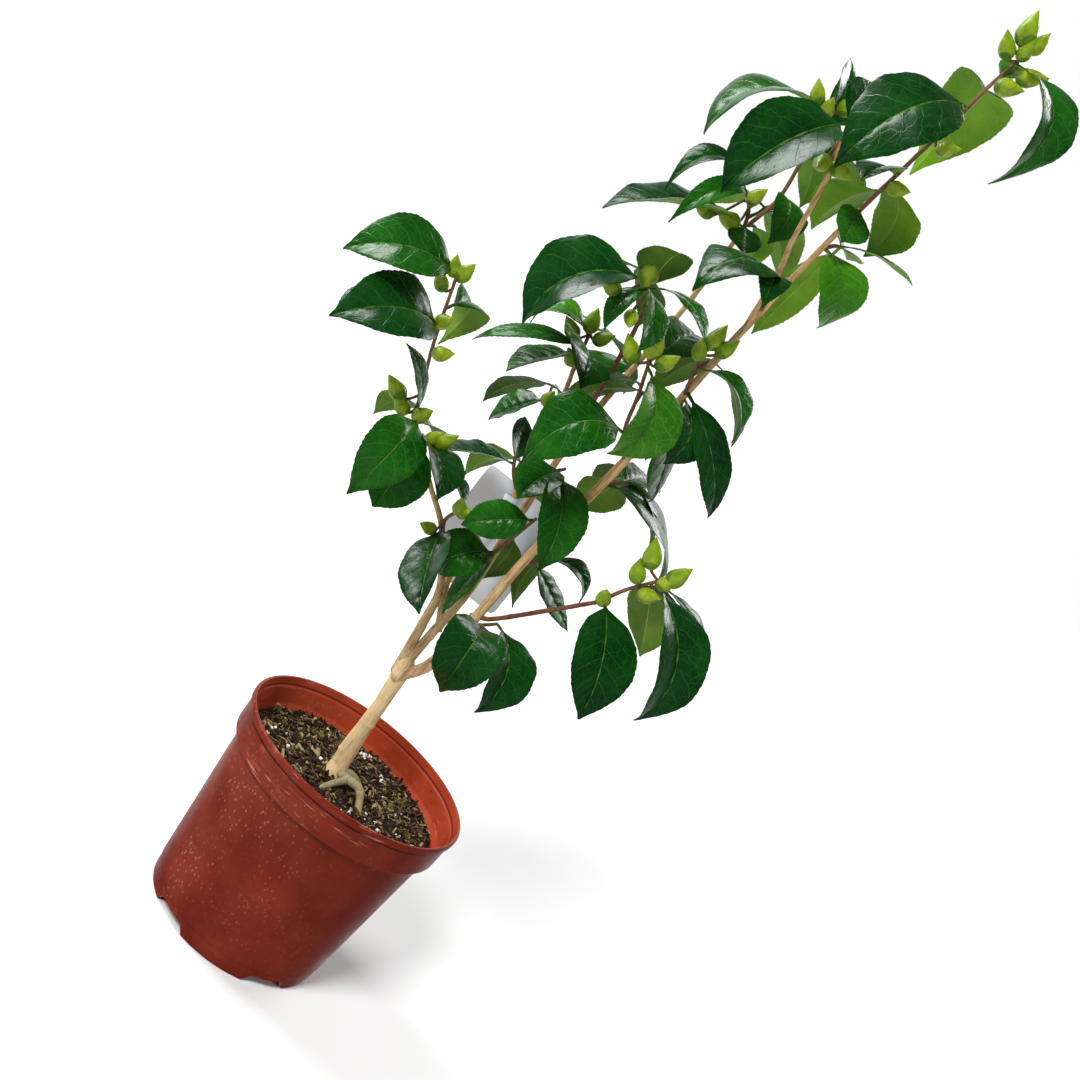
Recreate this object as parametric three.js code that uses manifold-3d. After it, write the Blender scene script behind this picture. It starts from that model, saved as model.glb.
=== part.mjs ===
// Camellia shrub in its plastic nursery pot.
// Millimetres. X is to the right, Y away from the viewer, Z up. The origin is the centre of the pot's underside.
import * as THREE from 'three';
import { mergeVertices } from 'three/addons/utils/BufferGeometryUtils.js';
import Module from 'manifold-3d';

const wasm = await Module();
wasm.setup();

// Driving dimensions
const RIM_RADIUS = 95;
const POT_HEIGHT = 164;
const LIP_HEIGHT = 6;
const BAND_RADIUS = 92;
const BAND_BOTTOM = 136;
const BODY_TOP_RADIUS = 87;
const FOOT_RADIUS = 74;
const FOOT_HEIGHT = 12;
const POT_WALL = 1.8;
const FLOOR_UNDERSIDE = 7;
const FLOOR_TOP = 9;
const PAD_RADIUS = 20;
const NOTCH_COUNT = 5;
const NOTCH_WIDTH = 33;
const NOTCH_HEIGHT = 7;
const FIRST_NOTCH = -122;
const DRAIN_COUNT = 5;
const DRAIN_RADIUS = 5;
const DRAIN_CIRCLE = 48;
const SOIL_LEVEL = 140;
const SOIL_BUMP = 2;
const GAP = 0.3;
const ROUND_SIDES = 32;
const LIMB_SIDES = 7;
const TWIG_SIDES = 4;
const LEAF_THICKNESS = 1.6;
const PETIOLE_HALF_WIDTH = 1.1;
const TWIG_RADIUS = 1.3;
const LABEL_SIZE = { width: 72, height: 92, thickness: 0.9, corner: 5 };

// Trunk and boughs: points on the centre line, and the radius at each
const TRUNK = { points: [[-8, 2, 135], [-10, 3, 150], [-12, 4, 168], [-13, 4, 185], [-14, 3, 209], [-17, 1, 243]],
  radii: [10.5, 7.2, 6.9, 5.8, 5.6, 6.6] };
const SURFACE_ROOTS = [
  { points: [[-8, 2, 143], [3, -10, 149], [15, -14, 149], [26, -30, 137]], radii: [4, 3.4, 3, 2.6] },
  { points: [[3, -10, 149], [-3, -20, 146], [-11, -30, 137]], radii: [3, 2.6, 2.2] },
  { points: [[-8, 2, 146], [6, 1, 149], [21, 3, 137]], radii: [3, 2.4, 2] },
];
const BOUGHS = {
  right_bough: { points: [[-15, -1, 236], [-3, -5, 260], [1, -8, 307], [4, -8, 377], [13, -12, 452], [21, -10, 583],
    [27, -5, 652], [32, 0, 699]], radii: [4.4, 4.2, 3.8, 3.5, 3.2, 2.6, 2.1, 1.9] },
  middle_bough: { points: [[-18, 2, 243], [-17, 2, 271], [-15, 6, 316], [-21, 10, 392], [-24, 12, 436],
    [-24, 22, 487], [-21, 38, 565], [-23, 46, 643]], radii: [3.8, 3.5, 3.2, 2.9, 2.6, 2.3, 2, 1.7] },
  left_bough: { points: [[-21, 2, 240], [-27, 2, 279], [-33, 3, 306], [-58, 0, 342], [-83, -10, 364], [-106, -20, 385]],
    radii: [4, 3.6, 3, 2.3, 1.9, 1.6] },
  back_bough: { points: [[-17, 4, 284], [-33, 16, 312], [-37, 24, 346], [-33, 32, 386], [-40, 36, 419], [-49, 34, 464],
    [-58, 30, 496]], radii: [3, 2.9, 2.7, 2.5, 2.2, 1.9, 1.6] },
  inner_bough: { points: [[-24, 12, 434], [-30, -5, 489], [-33, -20, 517], [-36, -35, 541], [-41, -50, 564]],
    radii: [1.9, 1.8, 1.7, 1.6, 1.5] },
  upper_bough: { points: [[21, -10, 592], [15, -18, 633], [9, -22, 654], [1, -25, 697], [-7, -24, 722]],
    radii: [2, 1.9, 1.8, 1.6, 1.5] },
  low_bough: { points: [[2, -8, 310], [12, -12, 317], [38, -25, 350], [61, -40, 381]], radii: [2, 1.8, 1.7, 1.6] },
};

// Masses of foliage. A shoot is the stem's centre line. A leaf is its place along the shoot from 0 to 1, heading
// (0 right, 90 away from the viewer), slope, length, width, how far its face turns to the viewer, and arch.
// A bud is its place along the shoot, heading, slope, reach and length. Twigs is how many side twigs grow at the back.
const MASSES = {
  foliage_left: {
    seed: 393, twigs: 1,
    shoot: [[-106, -20, 385], [-120, -26, 400], [-126, -29, 415], [-140, -33, 450], [-154, -38, 496]],
    leaves: [[1, -152, -22, 80, 49, 45, 0.31], [0.8, -131, -20, 86, 56, 35, 0.27],
      [0.88, 86, -30, 58, 35, 10, 0.47], [0.3, -119, 37, 68, 21, 60, 0.12], [0.22, -93, -59, 74, 43, 15, 0.58],
      [0.1, -56, -78, 61, 50, 0, 0.12], [0.35, 122, -30, 63, 26, 0, 0.19], [0.2, 75, -15, 64, 32, 0, 0.12],
      [0.05, -49, -15, 63, 43, -5, 0.18]],
    buds: [[1, -125, 35, 9, 18], [1, -55, 40, 10, 20], [0.95, -145, 5, 11, 18], [0.85, -55, -5, 7, 20],
      [0.75, -30, -5, 13, 19], [0.5, -160, -20, 18, 22], [0.35, -150, -15, 12, 19], [0.3, -45, 20, 9, 20],
      [0.05, -35, 40, 14, 18], [0.05, -20, 35, 22, 21]],
  },
  foliage_low_left: {
    seed: 280, twigs: 0,
    shoot: [[-58, 0, 342], [-60, -8, 353], [-54, -16, 368]],
    leaves: [[1, 150, 10, 48, 26, 0, 0.15], [0.1, -70, -25, 92, 44, 60, 0.07]],
    buds: [[0.95, -110, 20, 7, 18], [1, -54, -14, 5, 17], [0.4, -135, -50, 14, 17]],
  },
  foliage_low_middle: {
    seed: 275, twigs: 0,
    shoot: [[-18, 8, 350], [-14, -6, 371], [-9, -16, 395]],
    leaves: [[0.95, -159, -38, 52, 32, 40, 0.1], [0.15, -98, -73, 63, 28, -45, 0.05],
      [0.5, 87, -61, 49, 24, 20, 0.28], [0.02, -162, -52, 46, 42, 50, 0.39]],
    buds: [],
  },
  foliage_front: {
    seed: 295, twigs: 0,
    shoot: [[-23, 11, 414], [-21, 0, 425], [-15, -10, 435]],
    leaves: [[0.6, -45, -49, 75, 41, 20, 0.31], [0.85, -110, -44, 44, 38, -10, 0.14]],
    buds: [],
  },
  foliage_low_front: {
    seed: 133, twigs: 0,
    shoot: [[1, -8, 300], [9, -20, 311], [16, -28, 320]],
    leaves: [[0.5, -79, -61, 58, 51, 10, 0.85], [1, -46, -55, 65, 47, 0, 0.36], [0.9, 60, -30, 38, 24, 0, 0.16]],
    buds: [],
  },
  foliage_right: {
    seed: 149, twigs: 1,
    shoot: [[61, -40, 381], [70, -46, 401], [83, -52, 421]],
    leaves: [[0.1, -42, -55, 85, 52, 25, 0.23], [0.95, -15, -59, 96, 54, 25, 0.33],
      [0.9, 60, -42, 86, 43, -25, 0.05]],
    buds: [[1, -160, 40, 21, 24], [0.75, -145, 35, 13, 21], [1, -35, 50, 16, 23], [1, -50, 25, 9, 18],
      [0.15, -110, 10, 6, 19], [0.8, -40, -20, 10, 20]],
  },
  foliage_low_back: {
    seed: 241, twigs: 0,
    shoot: [[4, -8, 360], [12, 6, 368], [19, 18, 373]],
    leaves: [[0.7, 3, -17, 41, 22, 20, 0.43], [0.35, 12, -28, 59, 28, 30, 0.02], [0.9, 88, -85, 48, 20, -20, 0.55]],
    buds: [],
  },
  foliage_mid_back: {
    seed: 77, twigs: 1,
    shoot: [[12, -11, 442], [20, 0, 448], [26, 10, 453]],
    leaves: [[0.15, 34, -24, 101, 56, 15, 0.24], [0.75, 112, -53, 50, 38, 0, 0.1], [0.6, 70, 5, 66, 34, 0, 0.12]],
    buds: [],
  },
  foliage_middle: {
    seed: 84, twigs: 1,
    shoot: [[14, -12, 466], [1, -28, 484], [-7, -38, 510], [-15, -44, 532]],
    leaves: [[0.3, -151, -50, 75, 50, 40, 0.7], [0.95, -32, -74, 64, 50, 10, 0.49],
      [0.75, 140, -26, 27, 30, 0, 0.15], [1, 81, 16, 100, 40, 5, 0.15]],
    buds: [[1, -120, 60, 14, 23], [1, -160, 0, 16, 22], [1, -30, 35, 14, 20]],
  },
  foliage_mid_right: {
    seed: 70, twigs: 1,
    shoot: [[19, -11, 524], [14, -18, 541], [10, -24, 557]],
    leaves: [[0.05, -33, -64, 48, 44, 5, 0.39], [0.2, 20, -40, 97, 32, 60, 0.17],
      [0.05, 46, -60, 86, 51, 60, 0.02], [0.7, -11, -25, 57, 34, 20, 0.42]],
    buds: [[1, -85, 70, 17, 22], [1, -30, 50, 19, 20], [1, -120, 20, 8, 19]],
  },
  foliage_inner_left: {
    seed: 10, twigs: 1,
    shoot: [[-58, 30, 496], [-60, 28, 506], [-63, 24, 520]],
    leaves: [[0.45, -152, -29, 83, 20, 25, 0.17], [0.3, -133, -40, 61, 50, -15, 0.03],
      [0.4, -73, -14, 65, 58, 10, 0.2], [0.85, 178, -26, 44, 27, 30, 0.54]],
    buds: [[1, -115, 45, 10, 22], [0.9, -155, -15, 15, 20], [0.1, -130, -10, 8, 18], [0.95, -30, 15, 13, 19]],
  },
  foliage_inner_low: {
    seed: 100, twigs: 1,
    shoot: [[-35, 33, 394], [-44, 24, 404], [-50, 18, 415]],
    leaves: [[0.75, -148, -21, 57, 45, 0, 0.07], [0.8, 110, 26, 57, 21, -5, 0.02]],
    buds: [],
  },
  foliage_inner_back: {
    seed: 217, twigs: 1,
    shoot: [[-48, 34, 458], [-57, 44, 459], [-63, 50, 455]],
    leaves: [[0.75, 158, -56, 48, 36, 45, 0.08]],
    buds: [[0.6, -85, 25, 7, 18]],
  },
  foliage_upper_left: {
    seed: 246, twigs: 1,
    shoot: [[-41, -50, 564], [-45, -54, 569], [-50, -56, 573]],
    leaves: [[0.85, -160, -55, 86, 59, 30, 0.38], [0.6, -84, 36, 50, 39, 25, 0.08],
      [0.5, -135, -78, 39, 19, 10, 0.35], [0.5, -23, -4, 55, 33, 10, 0.25], [0.4, -72, -25, 76, 27, -10, 0.14]],
    buds: [[1, -100, 50, 10, 26], [1, -160, -45, 24, 19], [0.4, -65, -75, 22, 17]],
  },
  foliage_upper_back: {
    seed: 51, twigs: 1,
    shoot: [[-23, 46, 643], [-28, 42, 655], [-36, 36, 662]],
    leaves: [[0.05, 205, -29, 107, 69, 0, 0.1], [0.85, -155, -31, 63, 30, 15, 0.54],
      [0.1, -69, -27, 38, 27, 25, 0.02], [0.1, 59, -43, 45, 25, -5, 0.55], [0.3, 59, -4, 104, 20, -10, 0.25],
      [0.9, -125, -42, 72, 20, 20, 0.4]],
    buds: [[0.9, -50, 35, 9, 19], [0.9, -165, -50, 32, 19], [0.6, -135, -60, 18, 23]],
  },
  foliage_high_middle: {
    seed: 262, twigs: 2,
    shoot: [[-22, 48, 648], [-17, 46, 676], [-22, 37, 710], [-28, 30, 739]],
    leaves: [[0.95, -160, -45, 86, 62, 5, 0.35], [0.9, 130, 68, 52, 46, -15, 0.12],
      [0.6, 65, 34, 51, 34, 0, 0.12], [0.35, -59, -51, 43, 34, 0, 0.36]],
    buds: [[1, -155, 20, 15, 20], [1, -100, 15, 6, 19], [1, -30, 45, 17, 21]],
  },
  foliage_high_front: {
    seed: 172, twigs: 0,
    shoot: [[-7, -24, 722], [-9, -25, 729], [-11, -27, 735]],
    leaves: [[0.8, -139, -61, 99, 61, 25, 0.22], [0.6, 105, 52, 47, 34, -5, 0.05]],
    buds: [[0.2, -92, -72, 24, 21], [0.2, -10, -52, 23, 20]],
  },
  foliage_top: {
    seed: 197, twigs: 0,
    shoot: [[32, 0, 699], [39, 5, 750], [44, 3, 786], [47, 0, 812], [51, -3, 833]],
    leaves: [[0.55, -142, -57, 104, 64, 30, 0.28], [0.68, 90, -35, 99, 58, 5, 0.45],
      [0.97, -12, -62, 79, 47, 40, 0.5], [0.12, 58, -50, 59, 48, 15, 0.36], [0.15, -110, -25, 54, 34, -20, 0.14],
      [0.08, 116, -45, 62, 48, 15, 0.15], [0, -85, -40, 43, 31, -15, 0.02], [0.8, 60, 25, 58, 34, 0, 0.14]],
    buds: [[1, -140, 60, 21, 25], [1, -155, 10, 14, 20], [1, -95, 50, 10, 18], [1, -60, 65, 17, 18],
      [1, -25, -15, 16, 22], [0.88, -35, -35, 13, 22], [0.35, -30, -10, 13, 18], [0.15, -40, -35, 12, 19],
      [0.4, -160, 10, 19, 16]],
  },
  foliage_upper_right: {
    seed: 208, twigs: 0,
    shoot: [[28, -4, 662], [34, 8, 670], [39, 16, 673]],
    leaves: [[0.1, 0, -55, 54, 43, 60, 0.55], [0.9, 97, -50, 108, 28, 0, 0.02], [1, 80, 1, 59, 32, 10, 0.03],
      [0.8, 6, 11, 58, 32, 5, 0.12]],
    buds: [],
  },
  foliage_upper_front: {
    seed: 24, twigs: 0,
    shoot: [[22, -9, 604], [20, -24, 617], [16, -32, 624]],
    leaves: [[0.6, -131, -28, 70, 57, 0, 0.34], [1, -84, -23, 49, 25, 20, 0.3]],
    buds: [],
  },
};

// Blade outline: share along the leaf, then half width as a share of the widest
const OUTLINE = [[0, 0], [0.08, 0.02], [0.12, 0.22], [0.22, 0.66], [0.34, 0.93], [0.45, 1], [0.58, 0.96], [0.72, 0.76],
  [0.84, 0.44], [0.93, 0.16], [1, 0.02]];
const BLADE_STATIONS = [0, 0.1, 0.36, 0.72, 1];
const MASS_COLOURS = [0x1f5a22, 0x2a6a28, 0x17491c, 0x33752f];

// Solids from geometry
const radians = THREE.MathUtils.degToRad;

function toSolid(geometry) {
  const bare = geometry.clone();
  bare.deleteAttribute('normal');
  bare.deleteAttribute('uv');
  const merged = mergeVertices(bare, 1e-4);
  const corners = Uint32Array.from(merged.index.array);
  const vertices = Float32Array.from(merged.attributes.position.array);
  const make = () => new wasm.Manifold(new wasm.Mesh({ numProp: 3, vertProperties: vertices, triVerts: corners }));
  const solid = make();
  if (solid.volume() > 0) {
    return solid;
  }
  for (let i = 0; i < corners.length; i += 3) {
    [corners[i], corners[i + 1]] = [corners[i + 1], corners[i]];
  }
  return make();
}

// The biggest piece alone: loose scraps and sealed hollows are left behind
function wholePiece(solid) {
  const pieces = solid.decompose();
  pieces.sort((a, b) => b.volume() - a.volume());
  return pieces[0];
}

function toMesh(name, solid, colour, roughness) {
  const result = wholePiece(solid).getMesh();
  const geometry = new THREE.BufferGeometry();
  geometry.setAttribute('position', new THREE.BufferAttribute(result.vertProperties, 3));
  geometry.setIndex(new THREE.BufferAttribute(result.triVerts, 1));
  geometry.computeVertexNormals();
  const mesh = new THREE.Mesh(geometry, new THREE.MeshStandardMaterial({ color: colour, roughness, metalness: 0 }));
  mesh.name = name;
  return mesh;
}

// Repeatable random numbers from 0 to 1
function randomFrom(seed) {
  let state = seed * 7919;
  return () => {
    state = (Math.imul(state, 1664525) + 1013904223) >>> 0;
    return state / 4294967296;
  };
}

function lathe(profile) {
  const geometry = new THREE.LatheGeometry(profile.map(([r, z]) => new THREE.Vector2(r, z)), ROUND_SIDES);
  return geometry.rotateX(Math.PI / 2);
}

// Limbs and twigs
function curveThrough(points) {
  return new THREE.CatmullRomCurve3(points.map((p) => new THREE.Vector3(...p)), false, 'catmullrom', 0.5);
}

function radiusAlong(radii, t) {
  const place = Math.min(t, 0.99999) * (radii.length - 1);
  const i = Math.floor(place);
  return radii[i] + (radii[i + 1] - radii[i]) * (place - i);
}

// A round tapering limb: a cylinder bent along its centre line, grown all over by extra
function limbSolid({ points, radii }, sides, stepsPerSpan, extra = 0) {
  const curve = curveThrough(points);
  const steps = (points.length - 1) * stepsPerSpan;
  const geometry = new THREE.CylinderGeometry(1, 1, 1, sides, steps);
  const position = geometry.attributes.position;
  const chord = curve.getPoint(1).sub(curve.getPoint(0)).normalize();
  const guide = Math.abs(chord.x) < 0.6 ? new THREE.Vector3(1, 0, 0) : new THREE.Vector3(0, 1, 0);
  for (let i = 0; i < position.count; i += 1) {
    const t = Math.min(Math.max(position.getY(i) + 0.5, 0), 1);
    const tangent = curve.getTangent(t);
    const across = guide.clone().cross(tangent).normalize();
    const other = tangent.clone().cross(across);
    const radius = radiusAlong(radii, t) + extra;
    const past = t === 1 ? extra : t === 0 ? -extra : 0;
    const place = curve.getPoint(t).addScaledVector(tangent, past);
    place.addScaledVector(across, position.getX(i) * radius);
    place.addScaledVector(other, position.getZ(i) * radius);
    position.setXYZ(i, place.x, place.y, place.z);
  }
  return toSolid(geometry);
}

// Directions
function direction(heading, slope) {
  const flat = Math.cos(radians(slope));
  return new THREE.Vector3(flat * Math.cos(radians(heading)), flat * Math.sin(radians(heading)), Math.sin(radians(slope)));
}

// Leaves
function makeLeaf(base, [heading, slope, length, width, turn, arch], random) {
  const chord = direction(heading, slope);
  const upper = direction(heading, slope + 90);
  const side = chord.clone().cross(upper);
  const toViewer = side.y < 0 ? 1 : -1;
  const angle = radians(turn) * toViewer;
  const face = upper.clone().multiplyScalar(Math.cos(angle)).addScaledVector(side, Math.sin(angle));
  return { base, chord, face, length, width, arch: arch * (0.85 + 0.3 * random()), fold: radians(8 + 20 * random()),
    droop: 0.1 + 0.15 * random(), twist: radians(30 * (random() - 0.5)) };
}

function halfWidth(leaf, s) {
  let i = 1;
  while (OUTLINE[i][0] < s) {
    i += 1;
  }
  const [s0, w0] = OUTLINE[i - 1];
  const [s1, w1] = OUTLINE[i];
  return Math.max(leaf.width / 2 * (w0 + (w1 - w0) * (s - s0) / (s1 - s0)), s < 0.1 ? PETIOLE_HALF_WIDTH : 0.6);
}

// A point of the blade: s runs from the shoot to the tip, w from edge to edge, h is the height over the middle layer
function bladePoint(leaf, s, w, h) {
  const rise = [0, 1.25 * leaf.arch, 1.15 * leaf.arch, 0];
  const reach = [0, 0.3, 0.78, 1];
  const m = 1 - s;
  const weights = [m * m * m, 3 * m * m * s, 3 * m * s * s, s * s * s];
  const slopes = [-3 * m * m, 3 * m * m - 6 * m * s, 6 * m * s - 3 * s * s, 3 * s * s];
  const along = weights.reduce((sum, k, i) => sum + k * reach[i], 0);
  const over = weights.reduce((sum, k, i) => sum + k * rise[i], 0);
  const alongRate = slopes.reduce((sum, k, i) => sum + k * reach[i], 0);
  const overRate = slopes.reduce((sum, k, i) => sum + k * rise[i], 0);
  const speed = Math.hypot(alongRate, overRate);
  const side = leaf.face.clone().cross(leaf.chord);
  const normal = leaf.face.clone().multiplyScalar(alongRate / speed).addScaledVector(leaf.chord, -overRate / speed);
  const twist = leaf.twist * s;
  const across = side.clone().multiplyScalar(Math.cos(twist)).addScaledVector(normal, Math.sin(twist));
  const up = normal.clone().multiplyScalar(Math.cos(twist)).addScaledVector(side, -Math.sin(twist));
  const half = halfWidth(leaf, s);
  const blade = Math.min(Math.max((s - 0.08) / 0.1, 0), 1);
  const lift = half * blade * (Math.sin(leaf.fold) * Math.abs(w) - leaf.droop * w * w);
  return leaf.base.clone()
    .addScaledVector(leaf.chord, along * leaf.length)
    .addScaledVector(leaf.face, over * leaf.length)
    .addScaledVector(across, half * w * Math.cos(leaf.fold))
    .addScaledVector(up, lift + h);
}

// Thickest along the midrib and thin at the edges: a four-sided cylinder bent along the blade
function leafSolid(leaf) {
  const geometry = new THREE.CylinderGeometry(1, 1, 1, 4, BLADE_STATIONS.length - 1);
  const position = geometry.attributes.position;
  for (let i = 0; i < position.count; i += 1) {
    const station = Math.round((position.getY(i) + 0.5) * (BLADE_STATIONS.length - 1));
    const height = position.getZ(i) * LEAF_THICKNESS / 2;
    const place = bladePoint(leaf, BLADE_STATIONS[station], position.getX(i), height);
    position.setXYZ(i, place.x, place.y, place.z);
  }
  return toSolid(geometry);
}

// Sample points on every limb, to keep leaves off the wood
const LIMB_POINTS = [];
for (const limb of [TRUNK, ...Object.values(BOUGHS)]) {
  const curve = curveThrough(limb.points);
  const count = (limb.points.length - 1) * 10;
  for (let i = 0; i <= count; i += 1) {
    LIMB_POINTS.push({ place: curve.getPoint(i / count), reach: radiusAlong(limb.radii, i / count) + 1 });
  }
}

function leafIsClear(leaf) {
  for (let i = 2; i <= 12; i += 1) {
    for (const w of [-1, -0.5, 0, 0.5, 1]) {
      const spot = bladePoint(leaf, i / 12, w, 0);
      if (LIMB_POINTS.some(({ place, reach }) => place.distanceTo(spot) < reach)) {
        return false;
      }
    }
  }
  return true;
}

// Flower buds: a pointed egg that narrows down to its shoot
function budSolid(base, [heading, slope, reach, length]) {
  const centre = base.clone().addScaledVector(direction(heading, slope), reach);
  const axis = direction(heading, slope).add(new THREE.Vector3(0, 0, 0.8)).normalize();
  const geometry = new THREE.SphereGeometry(1, 5, 4);
  const position = geometry.attributes.position;
  const turn = new THREE.Quaternion().setFromUnitVectors(new THREE.Vector3(0, 1, 0), axis);
  for (let i = 0; i < position.count; i += 1) {
    const y = position.getY(i);
    const girth = length * 0.33 * (1 - 0.25 * y);
    const place = new THREE.Vector3(position.getX(i) * girth, y * length / 2, position.getZ(i) * girth);
    place.applyQuaternion(turn).add(centre);
    if (y < -0.99) {
      place.copy(base);
    }
    position.setXYZ(i, place.x, place.y, place.z);
  }
  return toSolid(geometry);
}

// One mass: the shoot, its own leaves and buds, then seeded side twigs on the far side with a pair of leaves each
function massSolid({ seed, twigs, shoot, leaves, buds }) {
  const random = randomFrom(seed);
  const curve = curveThrough(shoot);
  const radii = shoot.map((_, i) => TWIG_RADIUS * (1.25 - 0.35 * i / (shoot.length - 1)));
  const parts = [limbSolid({ points: shoot, radii }, TWIG_SIDES, 1)];
  const addLeaf = (base, shape) => {
    const leaf = makeLeaf(base, shape, random);
    if (leafIsClear(leaf)) {
      parts.push(leafSolid(leaf));
    }
  };
  for (const [share, ...shape] of leaves) {
    addLeaf(curve.getPoint(share), shape);
  }
  for (const [share, ...shape] of buds) {
    parts.push(budSolid(curve.getPoint(share), shape));
  }
  for (let i = 0; i < twigs; i += 1) {
    const base = curve.getPoint(0.5 + 0.3 * random());
    const heading = 90 - 0.5 * base.x + 50 * (random() - 0.5);
    const tip = base.clone().addScaledVector(direction(heading, 15 + 20 * random()), 16 + 8 * random());
    parts.push(limbSolid({ points: [base.toArray(), tip.toArray()], radii: [TWIG_RADIUS, TWIG_RADIUS * 0.8] }, TWIG_SIDES, 1));
    for (const way of [-1, 1]) {
      const size = 60 + 14 * random();
      addLeaf(tip, [heading + way * (35 + 20 * random()), -20 - 30 * random(), size, size * 0.5, 0, 0.16]);
    }
  }
  return wasm.Manifold.union(parts);
}

// Pot
function potSolid() {
  const bodyRadius = (z) => FOOT_RADIUS + (BODY_TOP_RADIUS - FOOT_RADIUS) * z / BAND_BOTTOM;
  const profile = [
    [0, 0], [PAD_RADIUS, 0], [PAD_RADIUS + 2, FLOOR_UNDERSIDE], [FOOT_RADIUS - 5, FLOOR_UNDERSIDE], [FOOT_RADIUS - 4, 0],
    [FOOT_RADIUS, 0], [bodyRadius(FOOT_HEIGHT), FOOT_HEIGHT], [bodyRadius(FOOT_HEIGHT) + 0.6, FOOT_HEIGHT + 0.6],
    [BODY_TOP_RADIUS, BAND_BOTTOM + 1], [BAND_RADIUS - 0.5, BAND_BOTTOM], [BAND_RADIUS, BAND_BOTTOM + 1],
    [BAND_RADIUS + 1, POT_HEIGHT - LIP_HEIGHT], [RIM_RADIUS - 0.5, POT_HEIGHT - LIP_HEIGHT + 0.5],
    [RIM_RADIUS, POT_HEIGHT - 1.5], [RIM_RADIUS - 1, POT_HEIGHT], [RIM_RADIUS - 2.6, POT_HEIGHT],
    [RIM_RADIUS - 3.4, POT_HEIGHT - LIP_HEIGHT - 1], [BAND_RADIUS - 1.8, POT_HEIGHT - LIP_HEIGHT - 3],
    [BAND_RADIUS - 3, BAND_BOTTOM + 5], [BODY_TOP_RADIUS - POT_WALL, BAND_BOTTOM - 2],
    [bodyRadius(FLOOR_TOP) - POT_WALL, FLOOR_TOP], [0, FLOOR_TOP],
  ];
  let pot = toSolid(lathe(profile));
  const half = NOTCH_WIDTH / 2;
  const trapezium = new THREE.Shape([new THREE.Vector2(-half - 3, -1), new THREE.Vector2(half + 3, -1),
    new THREE.Vector2(half - 3, NOTCH_HEIGHT), new THREE.Vector2(3 - half, NOTCH_HEIGHT)]);
  for (let i = 0; i < NOTCH_COUNT; i += 1) {
    const notch = new THREE.ExtrudeGeometry(trapezium, { depth: 14, bevelEnabled: false, steps: 1 });
    notch.rotateX(Math.PI / 2).rotateZ(Math.PI / 2).translate(FOOT_RADIUS - 11, 0, 0);
    notch.rotateZ(radians(FIRST_NOTCH + i * 360 / NOTCH_COUNT));
    pot = pot.subtract(toSolid(notch));
  }
  for (let i = 0; i < DRAIN_COUNT; i += 1) {
    const drain = new THREE.CylinderGeometry(DRAIN_RADIUS, DRAIN_RADIUS, FLOOR_TOP * 2, 12).rotateX(Math.PI / 2);
    const angle = radians(FIRST_NOTCH + (i + 0.5) * 360 / DRAIN_COUNT);
    drain.translate(DRAIN_CIRCLE * Math.cos(angle), DRAIN_CIRCLE * Math.sin(angle), FLOOR_TOP);
    pot = pot.subtract(toSolid(drain));
  }
  return pot;
}

// Soil: fills the pot, with a crumbly top that rises a little round the trunk
function soilSolid() {
  const wallRadius = (z) => FOOT_RADIUS + (BODY_TOP_RADIUS - FOOT_RADIUS) * z / BAND_BOTTOM - POT_WALL - 0.6;
  const level = SOIL_LEVEL - 5;
  const profile = [[0, FLOOR_TOP + GAP], [wallRadius(FLOOR_TOP) - 0.5, FLOOR_TOP + GAP], [wallRadius(level) - 0.5, level],
    [76, SOIL_LEVEL - 1], [52, SOIL_LEVEL], [28, SOIL_LEVEL], [0, SOIL_LEVEL]];
  const geometry = lathe(profile);
  const position = geometry.attributes.position;
  for (let i = 0; i < position.count; i += 1) {
    const [x, y, z] = [position.getX(i), position.getY(i), position.getZ(i)];
    if (z > level + 1) {
      const bump = Math.sin(x * 0.17 + 1) * Math.cos(y * 0.21) + 0.6 * Math.sin(x * 0.41 - y * 0.37 + 2);
      position.setZ(i, z + SOIL_BUMP * bump * 0.6);
    }
  }
  return toSolid(geometry);
}

// Trunk with its surface roots
function trunkSolid(extra) {
  const roots = SURFACE_ROOTS.map((root) => limbSolid(root, LIMB_SIDES, 1, extra));
  return wasm.Manifold.union([limbSolid(TRUNK, LIMB_SIDES, 1, extra), ...roots]);
}

// Blank plant label on a strap round the back bough
function labelSolid() {
  const { width, height, thickness, corner } = LABEL_SIZE;
  const shape = new THREE.Shape();
  shape.moveTo(corner, 0).lineTo(width - corner, 0).quadraticCurveTo(width, 0, width, corner);
  shape.lineTo(width, height - corner).quadraticCurveTo(width, height, width - corner, height);
  shape.lineTo(corner, height).quadraticCurveTo(0, height, 0, height - corner);
  shape.lineTo(0, corner).quadraticCurveTo(0, 0, corner, 0);
  const plate = new THREE.ExtrudeGeometry(shape, { depth: thickness, bevelEnabled: false, curveSegments: 3 });
  plate.rotateX(Math.PI / 2).translate(-62, 46, 303);
  const ring = new THREE.LatheGeometry([[4.2, 0], [5.2, 0], [5.2, 5], [4.2, 5], [4.2, 0]]
    .map(([r, z]) => new THREE.Vector2(r, z)), 14).rotateX(Math.PI / 2);
  ring.rotateY(radians(-6)).translate(-33.5, 31.4, 383);
  const strap = new THREE.BoxGeometry(5, 12, 5, 1, 1, 1).translate(-34, 40.8, 385.5);
  return wasm.Manifold.union([toSolid(plate), toSolid(ring), toSolid(strap)]);
}

// The whole plant
const model = new THREE.Group();
const trunk = trunkSolid(0);
let wood = trunkSolid(GAP);

model.add(toMesh('pot', potSolid(), 0xa0402a, 0.45));
model.add(toMesh('soil', soilSolid().subtract(wood), 0x2c2118, 0.95));
model.add(toMesh('trunk', trunk, 0x9a8a6a, 0.85));

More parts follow.
